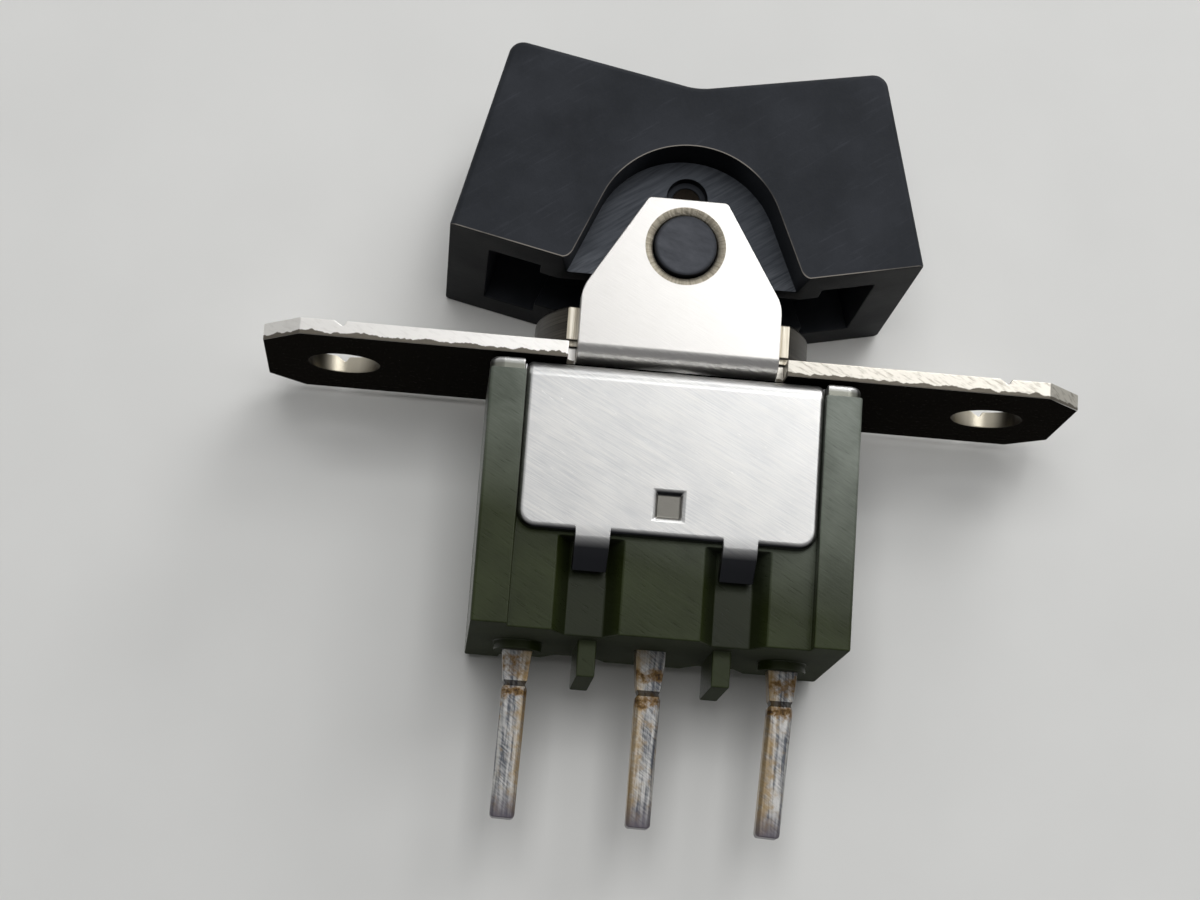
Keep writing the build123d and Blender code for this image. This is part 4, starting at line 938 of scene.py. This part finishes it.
def make_case():
    low, high = cad("case")
    case = block("case_moulding", (low.x, low.y, CASE_BOTTOM), high)
    bevel_edges(case, lambda at, along: abs(along.z) > 0.9, 0.12, 4)
    bay = high.x - PILASTER_WIDTH
    for side in (-1, 1):
        ends = sorted((side * PLATE_SEAT, side * (high.y + 1)))
        combine(case, block("bay", (-bay, ends[0], CASE_BOTTOM - 1), (bay, ends[1], CASE_TOP + 1)))
        for x in (-TAB_SPACING / 2, TAB_SPACING / 2):
            section = [(x + dx, side * (PLATE_SEAT - dy)) for dx, dy in (
                (-1.258, -0.2), (1.258, -0.2), (0.665, 0.9), (-0.665, 0.9))]
            combine(case, bar("groove", section, CASE_BOTTOM - 1, GROOVE_TOP, "Z"))
    cavity_y = 1.9
    combine(case, block("cavity", (-5.6, -cavity_y, CAVITY_FLOOR), (5.6, cavity_y, CASE_TOP + 1)))
    combine(case, block("rebate", (-6, -2.8, CASE_TOP - 0.15), (6, 2.8, CASE_TOP + 1)))
    for side in (-1, 1):
        add(case, rod("terminal_boss", 0.85, TERMINAL_BOSS_BOTTOM, CASE_BOTTOM + 0.1, "Z",
                      (side * TERMINAL_PITCH, 0, 0), sides=48))
        rib_x = side * TERMINAL_PITCH / 2
        add(case, block("barrier", (rib_x - 0.325, -1.8, low.z), (rib_x + 0.325, 1.8, CASE_BOTTOM + 0.1)))
    half = TERMINAL_ROOT_WIDTH / 2
    for x in (-TERMINAL_PITCH, 0, TERMINAL_PITCH):
        combine(case, block("slot", (x - half, -TERMINAL_THICKNESS / 2, -12),
                            (x + half, TERMINAL_THICKNESS / 2, -7)))
    soften(case, 0.06)
    finish_piece(case, "base", "case_moulding", olive_phenolic(), "case")


# ---------------------------------------------------------------- terminals
NECK_NOTCH = 0.16
# height and width of a terminal's stations from its head down to its tip
TERMINAL_STATIONS = (
    (TERMINAL_BOSS_BOTTOM, 1.05), (NECK_HEIGHT + NECK_NOTCH, 0.86), (NECK_HEIGHT, 0.7),
    (NECK_HEIGHT - NECK_NOTCH, 0.9))
TERMINAL_TIP_WIDTH = 0.86


def make_terminal(name, x, lean, head_half, head_depth, head_thickness, head_x):
    """A flat blade with a neck; its long edges below the neck are coined off."""
    tip = cad("terminal_common")[0].z
    half_thickness = TERMINAL_THICKNESS / 2
    blade = block(name + "_blade", (-0.525, -half_thickness, tip), (0.525, half_thickness, CAVITY_FLOOR))
    for height, width in TERMINAL_STATIONS:
        slice_at(blade, (0, 0, height), (0, 0, 1))
    for height, width in (*TERMINAL_STATIONS, (tip, TERMINAL_TIP_WIDTH)):
        with editing(blade, "VERT") as select:
            select(lambda at, normal: abs(at.z - height) < HAIR)
            bpy.ops.transform.resize(value=(width / TERMINAL_ROOT_WIDTH, 1, 1), center_override=(0, 0, height))
    blade_top = NECK_HEIGHT - NECK_NOTCH
    bevel_edges(blade, lambda at, along: abs(along.z) > 0.9 and at.z < blade_top - 1, 0.12, 1)
    bevel_edges(blade, lambda at, along: abs(along.y) > 0.9 and at.z < tip + HAIR, 0.12, 2)
    with editing(blade, "VERT") as select:
        select(lambda at, normal: at.z < NECK_HEIGHT - HAIR)
        bpy.ops.transform.rotate(value=radians(-lean), orient_axis="Y", center_override=(0, 0, NECK_HEIGHT))
    with editing(blade, "VERT") as select:
        select(lambda at, normal: True)
        bpy.ops.transform.translate(value=(x, 0, 0))
    add(blade, block("head", (head_x - head_half, -head_depth, CAVITY_FLOOR - HAIR),
                     (head_x + head_half, head_depth, CAVITY_FLOOR + head_thickness)))
    soften(blade, 0.035)
    finish_piece(blade, "base", "terminal_metal", tinned_terminal(), name)


def make_terminals():
    make_terminal("terminal_left", -TERMINAL_PITCH, 1.1, 0.95, 1.3, 0.4, -4.2)
    make_terminal("terminal_common", 0, 0.7, 1.0, 1.5, 0.3, 0)
    make_terminal("terminal_right", TERMINAL_PITCH, 2.7, 0.95, 1.3, 0.4, 4.2)


# ---------------------------------------------------------------- plunger spring
SPRING_WIRE_RADIUS = 0.09
SPRING_OPEN_TURNS = 3


def make_spring():
    """A round wire coil with a closed turn at each end, its foot on the plunger and its head in the block."""
    low, high = cad("plunger_spring")
    closed_rise = 2 * SPRING_WIRE_RADIUS
    open_rise = high.z - low.z - closed_rise * 3
    at = low.z + SPRING_WIRE_RADIUS
    runs = []
    for turns, rise in ((1, closed_rise), (SPRING_OPEN_TURNS, open_rise), (1, closed_rise)):
        run = start("plunger_spring_wire", "circle", vertices=10, radius=SPRING_WIRE_RADIUS,
                    location=(high.x - SPRING_WIRE_RADIUS, 0, at), rotation=ACROSS["Y"])
        screw = run.modifiers.new("run", "SCREW")
        screw.angle = 2 * pi * turns
        screw.screw_offset = rise
        screw.steps = screw.render_steps = 28 * turns
        make_active(run)
        bpy.ops.object.modifier_apply(modifier=screw.name)
        runs.append(run)
        at += rise
    make_active(runs[0])
    for run in runs:
        run.select_set(True)
    bpy.ops.object.join()
    spring = runs[0]
    with editing(spring, "EDGE") as select:
        bpy.ops.mesh.select_all(action="SELECT")
        bpy.ops.mesh.remove_doubles(threshold=0.0005)
        bpy.ops.mesh.fill_holes(sides=0)
        bpy.ops.mesh.select_all(action="SELECT")
        bpy.ops.mesh.normals_make_consistent(inside=False)
    make_active(spring)
    bpy.ops.object.shade_smooth_by_angle(angle=radians(40))
    finish_piece(spring, None, "spring_steel",
                 plain_metal("spring_wire", "#6d6c6a", "#8f8e8b", 0.3, (0.3, 0.3, 0.3)), "plunger_spring")
    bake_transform(spring)


# ---------------------------------------------------------------- hidden working pieces
def dress_inner_pieces():
    finishes = {
        "insulator": plain_moulding("vulcanised_fibre", "#6b5236", "#8a6c49", 0.7),
        "lever": plain_metal("turned_steel", "#77746f", "#a09d97", 0.35, (2, 2, 0.05)),
        # the lever pin painted near black, as painted shade deep in its hole
        "lever_pin": plain_metal("painted_shade_steel_pin", "#141210", "#27221d", 0.4),
        "actuator_block": plain_moulding("black_acetal", "#121214", "#1c1c1f", 0.45),
        "plunger": plain_moulding("natural_nylon", "#c9c2ae", "#ddd7c6", 0.5),
    }
    bronze = plain_metal("phosphor_bronze_strip", "#9a6a45", "#c08a5c", 0.35, (1.2, 0.06, 0.06))
    silver = plain_metal("silver_contact", "#b9b5ae", "#d9d6d0", 0.3, (0.2, 0.2, 0.2))
    for name, piece in frame["nodes"].items():
        finish = finishes.get(name) or (silver if "_contact_" in name else bronze)
        piece.data.materials.clear()
        piece.data.materials.append(finish)


# ---------------------------------------------------------------- floor, light and camera
FLOOR_GAP = 0.05


def make_floor():
    """A pale surface that the switch lies on, on its back."""
    back = (cad_box[1][1] / MM + FLOOR_GAP) * MM
    bpy.ops.object.select_all(action="DESELECT")
    bpy.ops.mesh.primitive_plane_add(size=0.8, location=(0, back, 0), rotation=(pi / 2, 0, 0))
    floor = bpy.context.active_object
    floor.name = "floor"
    floor.data.materials.append(pale_paper())
    floor.visible_shadow = False


def pale_paper():
    """Matt pale paper with a very slight mottle, which throws little light back on the switch. It is
    clear from behind, so that the back of the switch can be seen."""
    m = new_material("pale_paper")
    place = add_node(m, "TexCoord")
    mottle = add_node(m, "TexNoise", {"Vector": (place, "Object"), "Scale": 1 / (6 * MM), "Detail": 3.0})
    paper = add_node(m, "Mix", {0: (mottle, "Fac"), 6: colour("#d2d2d0"), 7: colour("#dadad8")},
                     data_type="RGBA")
    rays = add_node(m, "LightPath")
    base = add_node(m, "Mix", {0: (rays, "Is Diffuse Ray"), 6: (paper, 2), 7: colour("#3a3a3a")},
                    data_type="RGBA")
    sheet = add_node(m, "BsdfPrincipled", {"Base Color": (base, 2), "Roughness": 0.9,
                                           "Specular IOR Level": 0.2})
    clear = add_node(m, "BsdfTransparent")
    side = add_node(m, "NewGeometry")
    surface = add_node(m, "MixShader", {0: (side, "Backfacing"), 1: (sheet, "BSDF"), 2: (clear, "BSDF")})
    add_node(m, "OutputMaterial", {"Surface": (surface, "Shader")})
    return m


def make_lamp(name, place, size, power, mirrored=True):
    """A soft lamp aimed at the switch; one that isn't mirrored stays out of the metal's reflections."""
    data = bpy.data.lights.new(name, "AREA")
    data.shape = "RECTANGLE"
    data.size = size[0] * MM
    data.size_y = size[1] * MM
    data.energy = power
    made = bpy.data.objects.new(name, data)
    bpy.context.scene.collection.objects.link(made)
    made.location = Vector(place) * MM
    made.rotation_euler = (Vector(place) - LAMP_TARGET).to_track_quat("Z", "Y").to_euler()
    made.visible_glossy = mirrored


def make_world():
    """Pale above and dark below, as a room is over a bench; the camera sees plain pale paper."""
    world = bpy.data.worlds.new("pale_studio")
    bpy.context.scene.world = world
    world.use_nodes = True
    world.node_tree.nodes.clear()
    place = add_node(world, "TexCoord")
    toward = add_node(world, "SeparateXYZ", {"Vector": (place, "Generated")})
    height = add_node(world, "MapRange", {"Value": (toward, "Z"), "From Min": -0.4, "From Max": 0.45},
                      interpolation_type="SMOOTHSTEP")
    shade = add_node(world, "Mix", {0: (height, "Result"), 6: colour("#8a8a8b"), 7: colour("#cfcfcf")},
                     data_type="RGBA")
    rays = add_node(world, "LightPath")
    seen = add_node(world, "Mix", {0: (rays, "Is Camera Ray"), 6: (shade, 2), 7: colour("#cdcdcb")},
                    data_type="RGBA")
    strength = add_node(world, "MapRange", {"Value": (rays, "Is Diffuse Ray"), "To Min": 1.0, "To Max": 0.3})
    light = add_node(world, "Background", {"Color": (seen, 2), "Strength": (strength, "Result")})
    add_node(world, "OutputWorld", {"Surface": (light, "Background")})


LAMP_TARGET = Vector((0, 0, -3))
CAMERA_LENS = 77.23
CAMERA_PLACE = (-7.615, -89.985, -23.889)
CAMERA_AZIMUTH = -3.387
CAMERA_ELEVATION = -13.062
CAMERA_ROLL = 4.126


def make_camera():
    data = bpy.data.cameras.new("camera")
    data.lens = CAMERA_LENS
    data.sensor_width = 36.0
    data.clip_start = 0.005
    data.clip_end = 10.0
    made = bpy.data.objects.new("camera", data)
    bpy.context.scene.collection.objects.link(made)
    azimuth, elevation, roll = (radians(a) for a in (CAMERA_AZIMUTH, CAMERA_ELEVATION, CAMERA_ROLL))
    backward = Vector((sin(azimuth) * cos(elevation), -cos(azimuth) * cos(elevation), sin(elevation)))
    turn = backward.to_track_quat("Z", "Y").to_matrix() @ Matrix.Rotation(roll, 3, "Z")
    made.matrix_world = Matrix.Translation(Vector(CAMERA_PLACE) * MM) @ turn.to_4x4()
    bpy.context.scene.camera = made


dress_inner_pieces()
make_rocker()
make_bracket()
make_collar()
make_frame()
make_case()
make_terminals()
make_spring()
make_floor()
make_world()
make_lamp("front_softbox", (77, -223, 108), (112, 80), 0.132)
make_lamp("top_softbox", (90, -90, 190), (120, 120), 0.16)
make_lamp("front_fill", (-10, -262, 34), (130, 130), 0.4, mirrored=False)
make_lamp("back_softbox", (-70, 230, 100), (160, 140), 0.25)
make_camera()
bpy.context.scene.view_settings.view_transform = "Standard"
